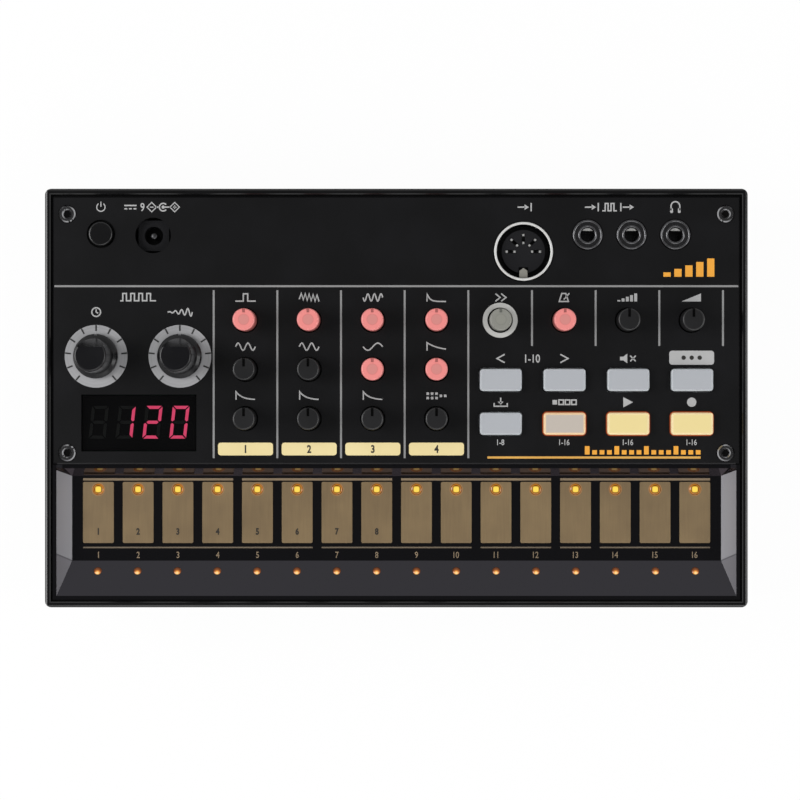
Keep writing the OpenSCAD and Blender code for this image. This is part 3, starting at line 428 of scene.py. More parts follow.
def rounded(x, y, w, d, r, steps=6):
    """Outline of a rectangle with round corners: a quarter circle about each corner's centre."""
    quarter = np.linspace(0, math.pi / 2, steps)
    turn = np.concatenate([quarter + k * math.pi / 2 for k in range(4)])
    side = np.repeat([1, -1, -1, 1], steps)
    end = np.repeat([1, 1, -1, -1], steps)
    across = x + side * (w / 2 - r) + r * np.cos(turn)
    return np.column_stack([across, y + end * (d / 2 - r) + r * np.sin(turn)])


def disc(x, y, r, sides=32):
    """Outline of a circle in equal steps round its centre."""
    turn = np.arange(sides) * 2 * math.pi / sides
    return np.column_stack([x + r * np.cos(turn), y + r * np.sin(turn)])


RULE_Y = 30.7 * MM
RULE_T = 0.53 * MM
RULE_IN = 0.5 * MM
DIVIDER_TOP = 29.6 * MM
DIVIDER_LONG = -16.5 * MM
DIVIDER_SHORT = 14.3 * MM
LONG_DIVIDERS = 5
TOP_DIALS = ("kick_click_dial", "snare_snap_dial", "high_tom_dial", "closed_hat_dial",
             "sample_speed_dial", "tempo_dial", "level_dial", "volume_dial")
column_x = np.array([middle(dial)[0] for dial in TOP_DIALS])
column_pitch = column_x[1] - column_x[0]
divider_x = np.append(column_x, column_x[-1] + column_pitch) - column_pitch / 2
cross_rule = level_rule(panel_low.x + RULE_IN, panel_high.x - RULE_IN, RULE_Y, RULE_T)
rules = [prism(cross_rule, *panel_ink)]
for i, x in enumerate(divider_x):
    end = DIVIDER_LONG if i < LONG_DIVIDERS else DIVIDER_SHORT
    rules.append(prism(bar(x - RULE_T / 2, end, x + RULE_T / 2, DIVIDER_TOP), *panel_ink))
piece("panel_rules", rules, ink("grey_ink", "#8E8E8E", "#848484"))

PLATE_W = 15.1 * MM
PLATE_D = 3.5 * MM
PLATE_R = 0.8 * MM
PLATE_Y = -14.0 * MM
GROUPS = 4
cream_plates = [prism(rounded(x, PLATE_Y, PLATE_W, PLATE_D, PLATE_R), *panel_ink) for x in column_x[:GROUPS]]
piece("cream_plates", cream_plates, ink("cream_ink", "#EADAA4", "#E2D098"))
SHIFT_PLATE_UP = 6.12 * MM
SHIFT_PLATE_W = 12.3 * MM
SHIFT_PLATE_D = 3.85 * MM
shift_x, shift_y = middle("shift_button")
plate_y = shift_y + SHIFT_PLATE_UP
pale_ink = ink("pale_ink", "#B0B0B0", "#A6A6A6")
shift_plate = rounded(shift_x, plate_y, SHIFT_PLATE_W, SHIFT_PLATE_D, PLATE_R)
piece("shift_plate", [prism(shift_plate, *panel_ink)], pale_ink)
PLATE_NUMBER_H = 2.2 * MM
DOT_PITCH = 2.2 * MM
DOT_R = 0.6 * MM
plate_print = [figures(str(i + 1), x, PLATE_Y, PLATE_NUMBER_H, *over_ink, weight=0.03)
               for i, x in enumerate(column_x[:GROUPS])]
plate_print += [prism(disc(shift_x + k * DOT_PITCH, plate_y, DOT_R), *over_ink) for k in (-1, 0, 1)]
piece("plate_print", plate_print, ink("dark_ink", "#1C1A14", "#141210"))

# Signs over the dials. Pale screen ink in plain line drawing: the shape of a wave, a pulse or a fall
# stands over each dial for what it changes.
LINE_W = 0.37 * MM
DIAL_SIGN_UP = 6.25 * MM


def channel(rails, closed):
    """Joins four rails, each a flat path at a level, by walls of quads; an open one gets its ends too."""
    n = len(rails[0][0])
    points = np.concatenate([np.column_stack([rail, np.full(n, z)]) for rail, z in rails])
    first = np.arange(n if closed else n - 1)
    last = (first + 1) % n
    faces = []
    for near, far in ((0, n), (n, 2 * n), (2 * n, 3 * n), (3 * n, 0)):
        faces += np.column_stack([first + near, first + far, last + far, last + near]).tolist()
    if not closed:
        faces += [[3 * n, 2 * n, n, 0], [n - 1, 2 * n - 1, 3 * n - 1, 4 * n - 1]]
    return points, faces


def stroke(path, width, low, high, closed=False):
    """Carries an upright rectangle along a flat path, mitred at each bend."""
    path = np.asarray(path, float)
    step = np.roll(path, -1, 0) - path
    if not closed:
        step[-1] = step[-2]
    step /= np.linalg.norm(step, axis=1, keepdims=True)
    before = np.roll(step, 1, 0)
    if not closed:
        before[0] = step[0]
    side = np.column_stack([-step[:, 1] - before[:, 1], step[:, 0] + before[:, 0]])
    side *= width / np.maximum(np.sum(side * side, 1, keepdims=True), 0.5)
    left = path + side
    right = path - side
    return channel(((left, low), (left, high), (right, high), (right, low)), closed)


def line(x, y, path, closed=False, width=LINE_W):
    """Draws a path, given in millimetres about a point, as a line of panel ink."""
    return stroke(np.asarray(path, float) * MM + np.array([x, y]), width, *panel_ink, closed)


def block(x, y, outline):
    """Fills an outline, given in millimetres about a point, with panel ink."""
    return prism(np.asarray(outline, float) * MM + np.array([x, y]), *panel_ink)


def wave(x, y, cycles, half=2.7):
    """Sine sign: so many cycles across the label's width."""
    t = np.linspace(-1, 1, 16 * cycles + 1)
    return [line(x, y, np.column_stack([t * half, np.sin(t * math.pi * cycles)]))]


def decay(x, y, speed, half=2.6):
    """Decay sign: a straight rise, then a fall that halves again and again."""
    t = np.linspace(0, 1, 24)
    fall = np.column_stack([-half + 2 * half * t, -1.1 + 2.2 * np.exp(-speed * t)])
    return [line(x, y, np.concatenate([[[-half, -1.1]], fall]))]


def pulse(x, y, edges, half=2.8):
    """Pulse sign: a flat line that steps up and down at the given edges."""
    high = np.arange(len(edges)) % 2 * 2 - 1
    corners = np.column_stack([np.repeat(edges, 2), np.column_stack([high, -high]).ravel()])
    return [line(x, y, np.concatenate([[[-half, -1]], corners, [[half, -1]]]))]


def crackle(x, y, half=2.7, points=11):
    """Noise sign: a zigzag whose height swells and shrinks by a sine of its place."""
    k = np.arange(points)
    swing = np.where(k % 2, 1, -1) * (0.45 + 0.7 * np.abs(np.sin(1.7 * k)))
    return [line(x, y, np.column_stack([np.linspace(-half, half, points), swing]))]


def grains(x, y):
    """Grain sign: small squares that thin out to the right."""
    spots = [(-2.4, 0.6), (-2.4, -0.6), (-1.2, 0.6), (-1.2, -0.6), (0, 0.6), (0, -0.6), (1.2, 0), (2.4, 0)]
    return [block(x, y, bar(u - 0.35, v - 0.35, u + 0.35, v + 0.35)) for u, v in spots]


def chevrons(x, y):
    """Speed sign: two arrowheads, one after the other."""
    return [line(x, y, [(k - 1.3, 1.05), (k, 0), (k - 1.3, -1.05)]) for k in (0.0, 1.6)]


def metronome(x, y):
    """Tempo sign: a metronome's tapered case and its rod."""
    return [line(x, y, [(-1.25, -1.1), (1.25, -1.1), (0.55, 1.1), (-0.55, 1.1)], closed=True),
            line(x, y, [(0, -0.55), (1.5, 1.15)])]


def steps(x, y, bars=5):
    """Level sign: bars that rise in equal steps."""
    return [block(x, y, bar(1.15 * k - 2.75, -1.1, 1.15 * k - 1.95, -0.7 + 0.45 * k)) for k in range(bars)]


def wedge(x, y, half=2.7):
    """Volume sign: a solid wedge that rises to the right."""
    return [block(x, y, [(-half, -1.1), (half, -1.1), (half, 1.1)])]


DIAL_SIGNS = {
    "kick_click_dial": (pulse, (-0.6, 0.6)), "kick_pitch_dial": (wave, 2), "kick_decay_dial": (decay, 3.0),
    "snare_snap_dial": (crackle,), "snare_pitch_dial": (wave, 2), "snare_decay_dial": (decay, 3.0),
    "high_tom_dial": (wave, 3), "low_tom_dial": (wave, 1), "tom_decay_dial": (decay, 3.0),
    "closed_hat_dial": (decay, 7.0), "open_hat_dial": (decay, 1.6), "hat_grain_dial": (grains,),
    "sample_speed_dial": (chevrons,), "tempo_dial": (metronome,), "level_dial": (steps,),
    "volume_dial": (wedge,),
}
dial_signs = []
for dial, (draw, *shape) in DIAL_SIGNS.items():
    x, y = middle(dial)
    dial_signs += draw(x, y + DIAL_SIGN_UP, *shape)
piece("dial_signs", dial_signs, pale_ink)

# Signs over the buttons. Arrows with the range of parts between them, mute, store, step squares, play
# and record, and small number ranges under the lower row.
BUTTON_SIGN_UP = 5.9 * MM
SIGN_NUMBER_H = 2.3 * MM
SMALL_NUMBER_UP = -5.1 * MM
SMALL_NUMBER_H = 1.6 * MM
back_x, next_x, mute_x = (middle(name + "_button")[0] for name in ("back", "next", "mute"))
memory_x, memory_y = middle("memory_button")
step_x, play_x, record_x = (middle(name + "_button")[0] for name in ("step_mode", "play", "record"))
upper_y = middle("back_button")[1] + BUTTON_SIGN_UP
lower_y = memory_y + BUTTON_SIGN_UP
loudspeaker = [(-2.2, -0.5), (-1.3, -0.5), (-0.2, -1.3), (-0.2, 1.3), (-1.3, 0.5), (-2.2, 0.5)]
button_signs = [
    line(back_x, upper_y, [(1.1, 1.15), (-1.0, 0), (1.1, -1.15)]),
    line(next_x, upper_y, [(-1.1, 1.15), (1.0, 0), (-1.1, -1.15)]),
    figures("1-10", (back_x + next_x) / 2, upper_y, SIGN_NUMBER_H, *panel_ink),
    block(mute_x, upper_y, loudspeaker),
    line(mute_x, upper_y, [(0.6, 0.75), (2.1, -0.75)]),
    line(mute_x, upper_y, [(0.6, -0.75), (2.1, 0.75)]),
    line(memory_x, lower_y, [(-1.8, -0.2), (-1.8, -1.1), (1.8, -1.1), (1.8, -0.2)]),
    line(memory_x, lower_y, [(0, 1.25), (0, -0.3)]),
    block(memory_x, lower_y, [(-0.8, 0.15), (0, -0.65), (0.8, 0.15)]),
    block(step_x, lower_y, bar(-3.25, -0.62, -2.0, 0.62)),
    *(line(step_x, lower_y, bar(k, -0.62, k + 1.25, 0.62), closed=True) for k in (-1.5, 0.25, 2.0)),
    block(play_x, lower_y, [(-1.3, -1.4), (1.4, 0), (-1.3, 1.4)]),
    block(record_x, lower_y, disc(0, 0, 1.28)),
]
for x, text in ((memory_x, "1-8"), (step_x, "1-16"), (play_x, "1-16"), (record_x, "1-16")):
    button_signs.append(figures(text, x, memory_y + SMALL_NUMBER_UP, SMALL_NUMBER_H, *panel_ink))
piece("button_signs", button_signs, pale_ink)

# Signs by the big dials and the sockets. A pulse train, a clock and a swelling wave; the common signs
# for power, direct current and its polarity, input and output, and headphones.
SIGN_Y = 52.4 * MM
BIG_SIGN_UP = 12.15 * MM
HEAD_SIGN_UP = 16.25 * MM
CURRENT_LEFT = 6.2 * MM
VOLTS_LEFT = 2.9 * MM
POLE_RIGHT = 2.8 * MM
JACK_PITCH = 12.05 * MM
SYNC_ARROW = 5.2 * MM
THIN_LINE = 0.28 * MM
rings_low, rings_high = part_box("scale_rings")
ring_r = (rings_high.y - rings_low.y) / 2
time_x = rings_low.x + ring_r
depth_x = rings_high.x - ring_r
big_y = rings_low.y + ring_r
power_x = middle("power_button")[0]
dc_x, dc_y = middle("dc_jack")
current_x = dc_x - CURRENT_LEFT
pole_x = dc_x + POLE_RIGHT
big_sign_y = big_y + BIG_SIGN_UP
din_x = middle("din_shell")[0]
jacks_x, jack_y = middle("audio_jacks")
jack_x = jacks_x + np.array([-1, 0, 1]) * JACK_PITCH
sync_x = (jack_x[0] + jack_x[1]) / 2


def arc(r, start_angle, end_angle, points=24):
    """Path along a circle about the point from one angle to another, in degrees."""
    turn = np.radians(np.linspace(start_angle, end_angle, points))
    return np.column_stack([np.cos(turn), np.sin(turn)]) * r


def arrow(x, y, post):
    """Port sign: an arrow to the right with a post in front of it or behind it."""
    return [line(x, y, [(-1.6, 0), (0.5, 0)]), block(x, y, [(0.3, -0.75), (1.5, 0), (0.3, 0.75)]),
            line(x, y, [(post, -1.15), (post, 1.15)])]


t = np.linspace(0, 1, 49)
swell = np.column_stack([6.8 * t - 3.4, 1.2 * t * np.sin(8 * math.pi * t)])
socket_signs = [
    line(time_x, big_sign_y, arc(1.2, 0, 345), closed=True),
    line(time_x, big_sign_y, [(0, 0.75), (0, 0), (0.55, -0.35)]),
    line(depth_x, big_sign_y, swell),
    line(power_x, SIGN_Y, arc(1.15, 125, 415), width=THIN_LINE),
    line(power_x, SIGN_Y, [(0, 0.1), (0, 1.5)], width=THIN_LINE),
    line(current_x, SIGN_Y, [(-1.7, 0.45), (1.7, 0.45)]),
    figures("9", dc_x - VOLTS_LEFT, SIGN_Y, SIGN_NUMBER_H, *panel_ink),
    line(pole_x, SIGN_Y, arc(1.05, 40, 320)),
    block(pole_x, SIGN_Y, disc(0, 0, 0.45)),
    line(pole_x, SIGN_Y, [(-1.95, 0), (-1.1, 0)]),
    line(pole_x, SIGN_Y, [(0.4, 0), (1.95, 0)]),
    line(pole_x, SIGN_Y, [(3.15, -0.5), (3.15, 0.5)], width=THIN_LINE),
]
for k in (-1.25, 0.0, 1.25):
    socket_signs.append(line(current_x, SIGN_Y, [(k - 0.4, -0.45), (k + 0.4, -0.45)]))
for k in (-3.15, 3.15):
    diamond = np.array([(-1.3, 0), (0, -1.3), (1.3, 0), (0, 1.3)]) + np.array([k, 0])
    socket_signs.append(line(pole_x, SIGN_Y, diamond, closed=True, width=THIN_LINE))
    socket_signs.append(line(pole_x, SIGN_Y, [(k - 0.5, 0), (k + 0.5, 0)], width=THIN_LINE))
train = (-4.2, -3.2, -2.0, -1.0, 0.2, 1.2, 2.4, 3.4)
socket_signs += pulse((time_x + depth_x) / 2, big_y + HEAD_SIGN_UP, train, half=4.9)
socket_signs += arrow(din_x, SIGN_Y, 2.1)
socket_signs += arrow(sync_x - SYNC_ARROW, SIGN_Y, 2.1)
socket_signs += arrow(sync_x + SYNC_ARROW, SIGN_Y, -2.1)
socket_signs += pulse(sync_x, SIGN_Y, (-1.2, -0.4, 0.4, 1.2), half=2.0)
band = np.concatenate([[(1.2, -0.9)], arc(1.2, 0, 180) + np.array([0, 0.3]), [(-1.2, -0.9)]])
socket_signs.append(line(jack_x[2], SIGN_Y, band))
for k in (-1.05, 1.05):
    socket_signs.append(block(jack_x[2], SIGN_Y, rounded(k, -0.95, 0.75, 1.3, 0.25)))
piece("socket_signs", socket_signs, pale_ink)

# Amber print. A rule under the lower buttons with a row of step blocks on it, and a group of rising
# bars at the upper right, in warm amber ink.
AMBER_LEFT = 25.0 * MM
AMBER_RIGHT = 83.5 * MM
AMBER_LOW = -16.62 * MM
AMBER_T = 0.6 * MM
BLOCKS = 16
BLOCKS_FROM = 51.0 * MM
BLOCK_LOW = -15.5 * MM
BLOCK_W = 1.3 * MM
BLOCK_TALL = 2.3 * MM
BLOCK_SHORT = 1.2 * MM
RISERS = 5
RISER_W = 2.0 * MM
RISER_PITCH = 3.0 * MM
RISER_X = 73.3 * MM
RISER_LOW = 33.3 * MM
RISER_FIRST = 1.2 * MM
RISER_STEP = 0.95 * MM
amber_rule = prism(bar(AMBER_LEFT, AMBER_LOW, AMBER_RIGHT, AMBER_LOW + AMBER_T), *panel_ink)
piece("amber_rule", [amber_rule], ink("tan_amber_ink", "#DAA64E", "#CE9A46"))
amber_print = []
block_pitch = (AMBER_RIGHT - BLOCKS_FROM) / BLOCKS
for i in range(BLOCKS):
    end = AMBER_RIGHT - i * block_pitch
    tall = BLOCK_TALL if (BLOCKS - 1 - i) % GROUP == 0 else BLOCK_SHORT
    amber_print.append(prism(bar(end - BLOCK_W, BLOCK_LOW, end, BLOCK_LOW + tall), *panel_ink))
for i in range(RISERS):
    x = RISER_X + i * RISER_PITCH
    top = RISER_LOW + RISER_FIRST + i * RISER_STEP
    amber_print.append(prism(bar(x, RISER_LOW, x + RISER_W, top), *panel_ink))
piece("amber_print", amber_print, ink("amber_ink", "#F0A830", "#E49E32"))

# Display. Four slanted seven-segment digits on a black module, seen through a smoked acrylic window;
# three digits are lit red and the rest of the segments stay dark.
SMOKE_ALPHA = 0.3
DIGIT_W = 4.6 * MM
DIGIT_H = 9 * MM
DIGIT_PITCH = 7.4 * MM
DIGIT_LEAN = 0.11
DIGITS_LEFT = 0.1 * MM
DIGITS_UP = 0.2 * MM
SEGMENT_T = 0.84 * MM
SEGMENT_GAP = 0.24 * MM
DIODE_HAZE = 1.5 * MM
SHOWN = (" ", "1", "2", "0")
LIT = {" ": "", "0": "abcdef", "1": "bc", "2": "abdeg"}
window_acrylic = moulded("smoked_acrylic", "#060607", "#0A0A0C", 0.9 * MM, (0.08, 0.14), bump=0.02,
                         Alpha=SMOKE_ALPHA)
dress(window_acrylic, "display_window")
dress(moulded("module_resin", "#0C0C0C", "#101010", 0.9 * MM, (0.1, 0.15), bump=0.02), "display_module")
segments_low, segments_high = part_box("display_segments")
display_x, display_y = middle("display_window")


def segment(letter):
    """Outline of one segment, mitred to its neighbours: a to f go clockwise from the top, then g."""
    w = DIGIT_W / 2
    h = DIGIT_H / 2
    t = SEGMENT_T
    g = SEGMENT_GAP
    top = np.array([(-w + g, h), (-w + t + g, h - t), (w - t - g, h - t), (w - g, h)])
    right = np.array([(w, h - g), (w - t, h - t - g), (w - t, t / 2 + g), (w - t / 2, g), (w, t / 4 + g)])
    bridge = np.array([(-w + t / 2 + g, 0), (-w + t + g, -t / 2), (w - t - g, -t / 2),
                       (w - t / 2 - g, 0), (w - t - g, t / 2), (-w + t + g, t / 2)])
    down = np.array([1, -1])
    left = np.array([-1, 1])
    shapes = {"a": top, "b": right, "c": (right * down)[::-1], "d": (top * down)[::-1],
              "e": right * down * left, "f": (right * left)[::-1], "g": bridge}
    return shapes[letter]


def digit_segment(place, letter):
    """Stands a segment on the module at its digit's place, sheared to the digit's lean."""
    flat = segment(letter)
    x = display_x - DIGITS_LEFT + (place - (len(SHOWN) - 1) / 2) * DIGIT_PITCH + flat[:, 0]
    outline = np.column_stack([x + DIGIT_LEAN * flat[:, 1], display_y + DIGITS_UP + flat[:, 1]])
    return prism(outline, segments_low.z, segments_high.z)


lit_parts = [digit_segment(i, letter) for i, shown in enumerate(SHOWN) for letter in LIT[shown]]
dark_parts = [digit_segment(i, letter) for i, shown in enumerate(SHOWN) for letter in "abcdefg"
              if letter not in LIT[shown]]
diode_lit, tree, shader, place = start("lit_diode_epoxy", Base_Color="#7A1A30", Roughness=0.4,
                                       Emission_Strength=1.6)
haze = add(tree, "TexNoise", {"Vector": place, "Scale": 1 / DIODE_HAZE, "Detail": 1.0})
red = add(tree, "Mix", {"Factor": haze, "A": "#D03A5E", "B": "#E5527A"}, data_type="RGBA")
feed(shader, {"Emission Color": red})
diode_dark = moulded("dark_diode_epoxy", "#1A1C1A", "#202220", 0.5 * MM, (0.3, 0.36))
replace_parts(piece("lit_segments", lit_parts, diode_lit), "display_segments")
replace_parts(piece("dark_segments", dark_parts, diode_dark), "display_segments")

# Scale rings and big dials. Spun silvery plates with dark ticks lie on the panel, their grooves drawn
# coarser than real ones so that they show; each knob is moulded in black ABS with a grip on a round
# skirt, pressed on a steel shaft.
SPIN_LINE = 0.35 * MM
SPIN_ROUGH = (0.36, 0.52)
TICKS = 11
TICK_SWEEP = 280
TICK_IN = 6.95 * MM
TICK_OUT = 8.55 * MM
TICK_W = 0.42 * MM
scale_silver, tree, shader, place = start("spun_scale_silver", Metallic=0.3)
halfway = (-(time_x + depth_x) / 2, -big_y, 0)
moved = add(tree, "Mapping", {"Vector": place, "Location": halfway, "Scale": (1, 1, 0)})
mirrored = add(tree, "VectorMath", {0: moved}, operation="ABSOLUTE")
from_hub = add(tree, "VectorMath", {0: mirrored, 1: ((depth_x - time_x) / 2, 0, 0)}, operation="SUBTRACT")
turned = add(tree, "VectorMath", {0: from_hub}, operation="LENGTH")
grooves = add(tree, "TexNoise", {"W": turned, "Scale": 1 / SPIN_LINE, "Detail": 2.0}, noise_dimensions="1D")
sheen = add(tree, "Mix", {"Factor": grooves, "A": "#949496", "B": "#B6B6B8"}, data_type="RGBA")
gloss = add(tree, "MapRange", {"Value": grooves, "To Min": SPIN_ROUGH[0], "To Max": SPIN_ROUGH[1]})
feed(shader, {"Base Color": sheen, "Roughness": gloss})
dress(scale_silver, "scale_rings")
knob_abs = moulded("knob_satin_abs", "#121214", "#18181A", 0.5 * MM, (0.18, 0.26), bump=0.05,
                   Specular_IOR_Level=0.34)
dress(knob_abs, "time_knob", "depth_knob")
dress(plated("shaft_steel", "#8E8E90", "#B0B0B2", 0.4 * MM, 0.3), "time_shaft", "depth_shaft")
ticks = []
for x in (time_x, depth_x):
    for ray in arc(1.0, 90 + TICK_SWEEP / 2, 90 - TICK_SWEEP / 2, TICKS):
        path = np.outer([TICK_IN, TICK_OUT], ray) + np.array([x, big_y])
        ticks.append(stroke(path, TICK_W, rings_high.z - INK_SINK, rings_high.z + INK_T))
piece("scale_ticks", ticks, ink("tick_ink", "#161616", "#101010"))

# Small dials. Pegs of translucent pink or grey styrene, given a faint painted glow and painted shade on
# their flanks, or of black ABS; each has a slot moulded in its top, with a darker painted shade laid in it.
PINK_DIALS = ("kick_click_dial", "snare_snap_dial", "high_tom_dial", "low_tom_dial",
              "closed_hat_dial", "open_hat_dial", "tempo_dial")
GREY_DIAL = "sample_speed_dial"
BLACK_DIALS = [dial for dial in DIAL_SIGNS if dial not in (*PINK_DIALS, GREY_DIAL)]
PEG_R = 3.05 * MM
FLANK_FROM = 1.6 * MM
FLANK_TO = 0.3 * MM
PINK_PAINTED_GLOW = 0.08
GREY_PAINTED_GLOW = 0.03
SLOT_W = 0.68 * MM
SLOT_OUT = 2.85 * MM
SLOT_DEEP = 0.45 * MM
PALE_SHADE_T = 0.38 * MM
DARK_SHADE_T = 0.12 * MM
LONG_SLOT = 2.1 * MM
SHORT_SLOT = 0.9 * MM
PINK_TONES = ("#C67F7A", "#DC827E", "#C87572", "#A25C58")
GREY_TONES = ("#83837B", "#81817A", "#797972", "#5F5F59")


def styrene_painted_light(name, node, core, face, edge, flank, strength):
    """Translucent styrene with a faint painted glow: the tone changes with the distance from the peg's own
    axis, and a painted shade makes the flank darker than the face."""
    material, tree, shader, place = start(name, Roughness=0.38, Emission_Strength=strength)
    x, y = middle(node)
    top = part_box(node)[1].z
    centred = add(tree, "Mapping", {"Vector": place, "Location": (-x, -y, 0), "Scale": (1, 1, 0)})
    out = add(tree, "VectorMath", {0: centred}, operation="LENGTH")
    share = add(tree, "MapRange", {"Value": out, "From Max": PEG_R})
    bands = ((0.0, core), (0.4, core), (0.48, edge), (0.54, face), (0.88, face), (1.0, edge))
    tone = add(tree, "ValToRGB", {"Fac": share}, bands)
    height = add(tree, "SeparateXYZ", {"Vector": place})
    near_top = add(tree, "MapRange", {"Value": height.outputs["Z"], "From Min": top - FLANK_FROM,
                                      "From Max": top - FLANK_TO})
    # painted shade: below the top the peg's flank runs to a darker tone
    skin = add(tree, "Mix", {"Factor": near_top, "A": flank, "B": tone}, data_type="RGBA")
    # painted light: the tone also glows faintly as emission
    feed(shader, {"Base Color": skin, "Emission Color": skin})
    return material


dress(moulded("peg_satin_abs", "#161617", "#1D1D1F", 0.4 * MM, (0.3, 0.4), bump=0.12), *BLACK_DIALS)
for dial in PINK_DIALS:
    dress(styrene_painted_light("pink_styrene_" + dial, dial, *PINK_TONES, PINK_PAINTED_GLOW), dial)
dress(styrene_painted_light("grey_styrene", GREY_DIAL, *GREY_TONES, GREY_PAINTED_GLOW), GREY_DIAL)
dress(moulded("milky_styrene", "#BABAB7", "#C4C4C0", 0.6 * MM, (0.35, 0.45), bump=0.05), "speed_ring")
# painted shade: dark slabs in the black dials' slots and the screw sockets, rosy and grey ones in the pale
# dials' slots, stand for the shade in them
black_shade_finish = moulded("dark_slot_fill", "#020202", "#040404", INK_MESH, (0.8, 0.9), Specular_IOR_Level=0.1)
rosy_shade_finish = ink("rosy_slot_fill", "#A85C58", "#9A5250")
grey_shade_finish = ink("grey_slot_fill", "#62645E", "#585A54")
SLOT_SHADES = {**dict.fromkeys(PINK_DIALS, rosy_shade_finish), **dict.fromkeys(BLACK_DIALS, black_shade_finish),
         GREY_DIAL: grey_shade_finish}
for dial, paint in SLOT_SHADES.items():
    x, y = middle(dial)
    slot_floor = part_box(dial)[1].z - SLOT_DEEP
    length = LONG_SLOT if dial in BLACK_DIALS else SHORT_SLOT
    outline = bar(x - SLOT_W / 2, y + SLOT_OUT - length, x + SLOT_W / 2, y + SLOT_OUT)
    deep = DARK_SHADE_T if dial in BLACK_DIALS else PALE_SHADE_T
    fill = prism(outline, slot_floor - INK_SINK, slot_floor + deep)
    piece(dial + "_slot_fill", [fill], paint, dial)

# Buttons. Soft silicone caps in pale grey with a painted highlight along their edges; three of them are
# lit, so their edges glow cream or peach and a light-pipe frame shines orange in the gap between the cap
# and the panel.
GREY_BUTTONS = ("back_button", "next_button", "mute_button", "shift_button", "memory_button")
LIT_BUTTONS = {"step_mode_button": ("#B2A99F", "#E1C094"), "play_button": ("#DBC98D", "#E3CE9E"),
               "record_button": ("#DBC98D", "#E3CE9E")}
BUTTON_LIGHT = 0.1
SILICONE_GRAIN = 0.4 * MM
SILICONE_RELIEF = 0.08
PIPE_CLOUD = 4 * MM
CAP_W = 11.5 * MM
CAP_D = 6.1 * MM
CAP_R = 1.0 * MM
PANEL_GAP = 0.3 * MM
PIPE_GAP = 0.12 * MM
LIT_RIM = (0.75 * MM, 0.4 * MM)
RIM_HIGHLIGHT_BAND = (0.55 * MM, 0.15 * MM)


def silicone(name, node, face, rim, band, strength=0.0):
    """Silicone cap: the tone runs from face to rim over a band given by two distances from the cap's
    edge, and a fine moulded grain breaks up the gloss."""
    material, tree, shader, place = start(name, Roughness=0.47, Emission_Strength=strength)
    x, y = middle(node)
    centred = add(tree, "Mapping", {"Vector": place, "Location": (-x, -y, 0)})
    out = add(tree, "VectorMath", {0: centred}, operation="ABSOLUTE")
    side = add(tree, "SeparateXYZ", {"Vector": out})
    in_x = add(tree, "Math", {0: side.outputs["X"], 1: CAP_W / 2}, operation="SUBTRACT")
    in_y = add(tree, "Math", {0: side.outputs["Y"], 1: CAP_D / 2}, operation="SUBTRACT")
    edge = add(tree, "Math", {0: in_x, 1: in_y}, operation="MAXIMUM")
    share = add(tree, "MapRange", {"Value": edge, "From Min": -band[0], "From Max": -band[1]})
    tone = add(tree, "Mix", {"Factor": share, "A": face, "B": rim}, data_type="RGBA")
    grain = add(tree, "TexNoise", {"Vector": place, "Scale": 1 / SILICONE_GRAIN, "Detail": 2.0})
    skin = add(tree, "Bump", {"Height": grain, "Strength": SILICONE_RELIEF, "Distance": GRAIN_DEEP})
    feed(shader, {"Base Color": tone, "Emission Color": tone, "Normal": skin})
    return material


# painted highlight: the grey caps turn paler towards their edges
for button in GREY_BUTTONS:
    dress(silicone("grey_silicone_" + button, button, "#A7AAAF", "#B3B8BC", RIM_HIGHLIGHT_BAND), button)
dress(moulded("power_button_abs", "#0C0C0D", "#121213", 0.4 * MM, (0.2, 0.28), bump=0.1), "power_button")
light_pipe, tree, shader, place = start("light_pipe_acrylic", Base_Color="#5A1E05", Roughness=0.3,
                                        Emission_Strength=0.6)
uneven = add(tree, "TexNoise", {"Vector": place, "Scale": 1 / PIPE_CLOUD})
orange = add(tree, "Mix", {"Factor": uneven, "A": "#9A3606", "B": "#D2560E"}, data_type="RGBA")
feed(shader, {"Emission Color": orange})
pipe_low = panel_low.z
pipe_high = panel_high.z + INK_T
pipes = []
for button, (face, rim) in LIT_BUTTONS.items():
    dress(silicone("lit_silicone_" + button, button, face, rim, LIT_RIM, BUTTON_LIGHT), button)
    x, y = middle(button)
    outer = rounded(x, y, CAP_W + 2 * PANEL_GAP, CAP_D + 2 * PANEL_GAP, CAP_R + PANEL_GAP)
    inner = rounded(x, y, CAP_W + 2 * PIPE_GAP, CAP_D + 2 * PIPE_GAP, CAP_R + PIPE_GAP)
    rails = ((inner, pipe_low), (inner, pipe_high), (outer, pipe_high), (outer, pipe_low))
    pipes.append(channel(rails, closed=True))
piece("button_light_pipes", pipes, light_pipe)

# Sockets. Nylon bodies with turned metal: a nickel shell, bright on its rim, with painted shade that
# blackens its inner walls and darkens its sunk key, tinned contacts in the round one, black-chromed nuts and
# spring leaves in the jacks, a pin in the power socket.
SHELL_LEAN = 0.5
SHELL_GRIT = 0.5 * MM
SHELL_ROUGH = (0.36, 0.5)
JACK_BORE_R = 1.8 * MM
LEAF_FROM = 1.1 * MM
LEAF_T = 0.12 * MM
LEAF_DOWN = 0.85 * MM
LEAF_TILT = 0.25
LEAF_POINTS = 15
PIN_R = 0.83 * MM
PIN_DOME = 0.35 * MM
PIN_DOWN = 0.9 * MM
socket_nylon = moulded("socket_nylon", "#19191B", "#202022", 0.5 * MM, (0.2, 0.28), bump=0.08)
dress(socket_nylon, "dc_jack", "din_insert")
dress(plated("black_chrome", "#606062", "#6E6E70", 0.4 * MM, 0.24), "audio_jacks")
shell_nickel, tree, shader, place = start("shell_nickel", Metallic=0.5)
outward = add(tree, "NewGeometry").outputs["Normal"]
facing = add(tree, "SeparateXYZ", {"Vector": outward})
level = add(tree, "SeparateXYZ", {"Vector": place})
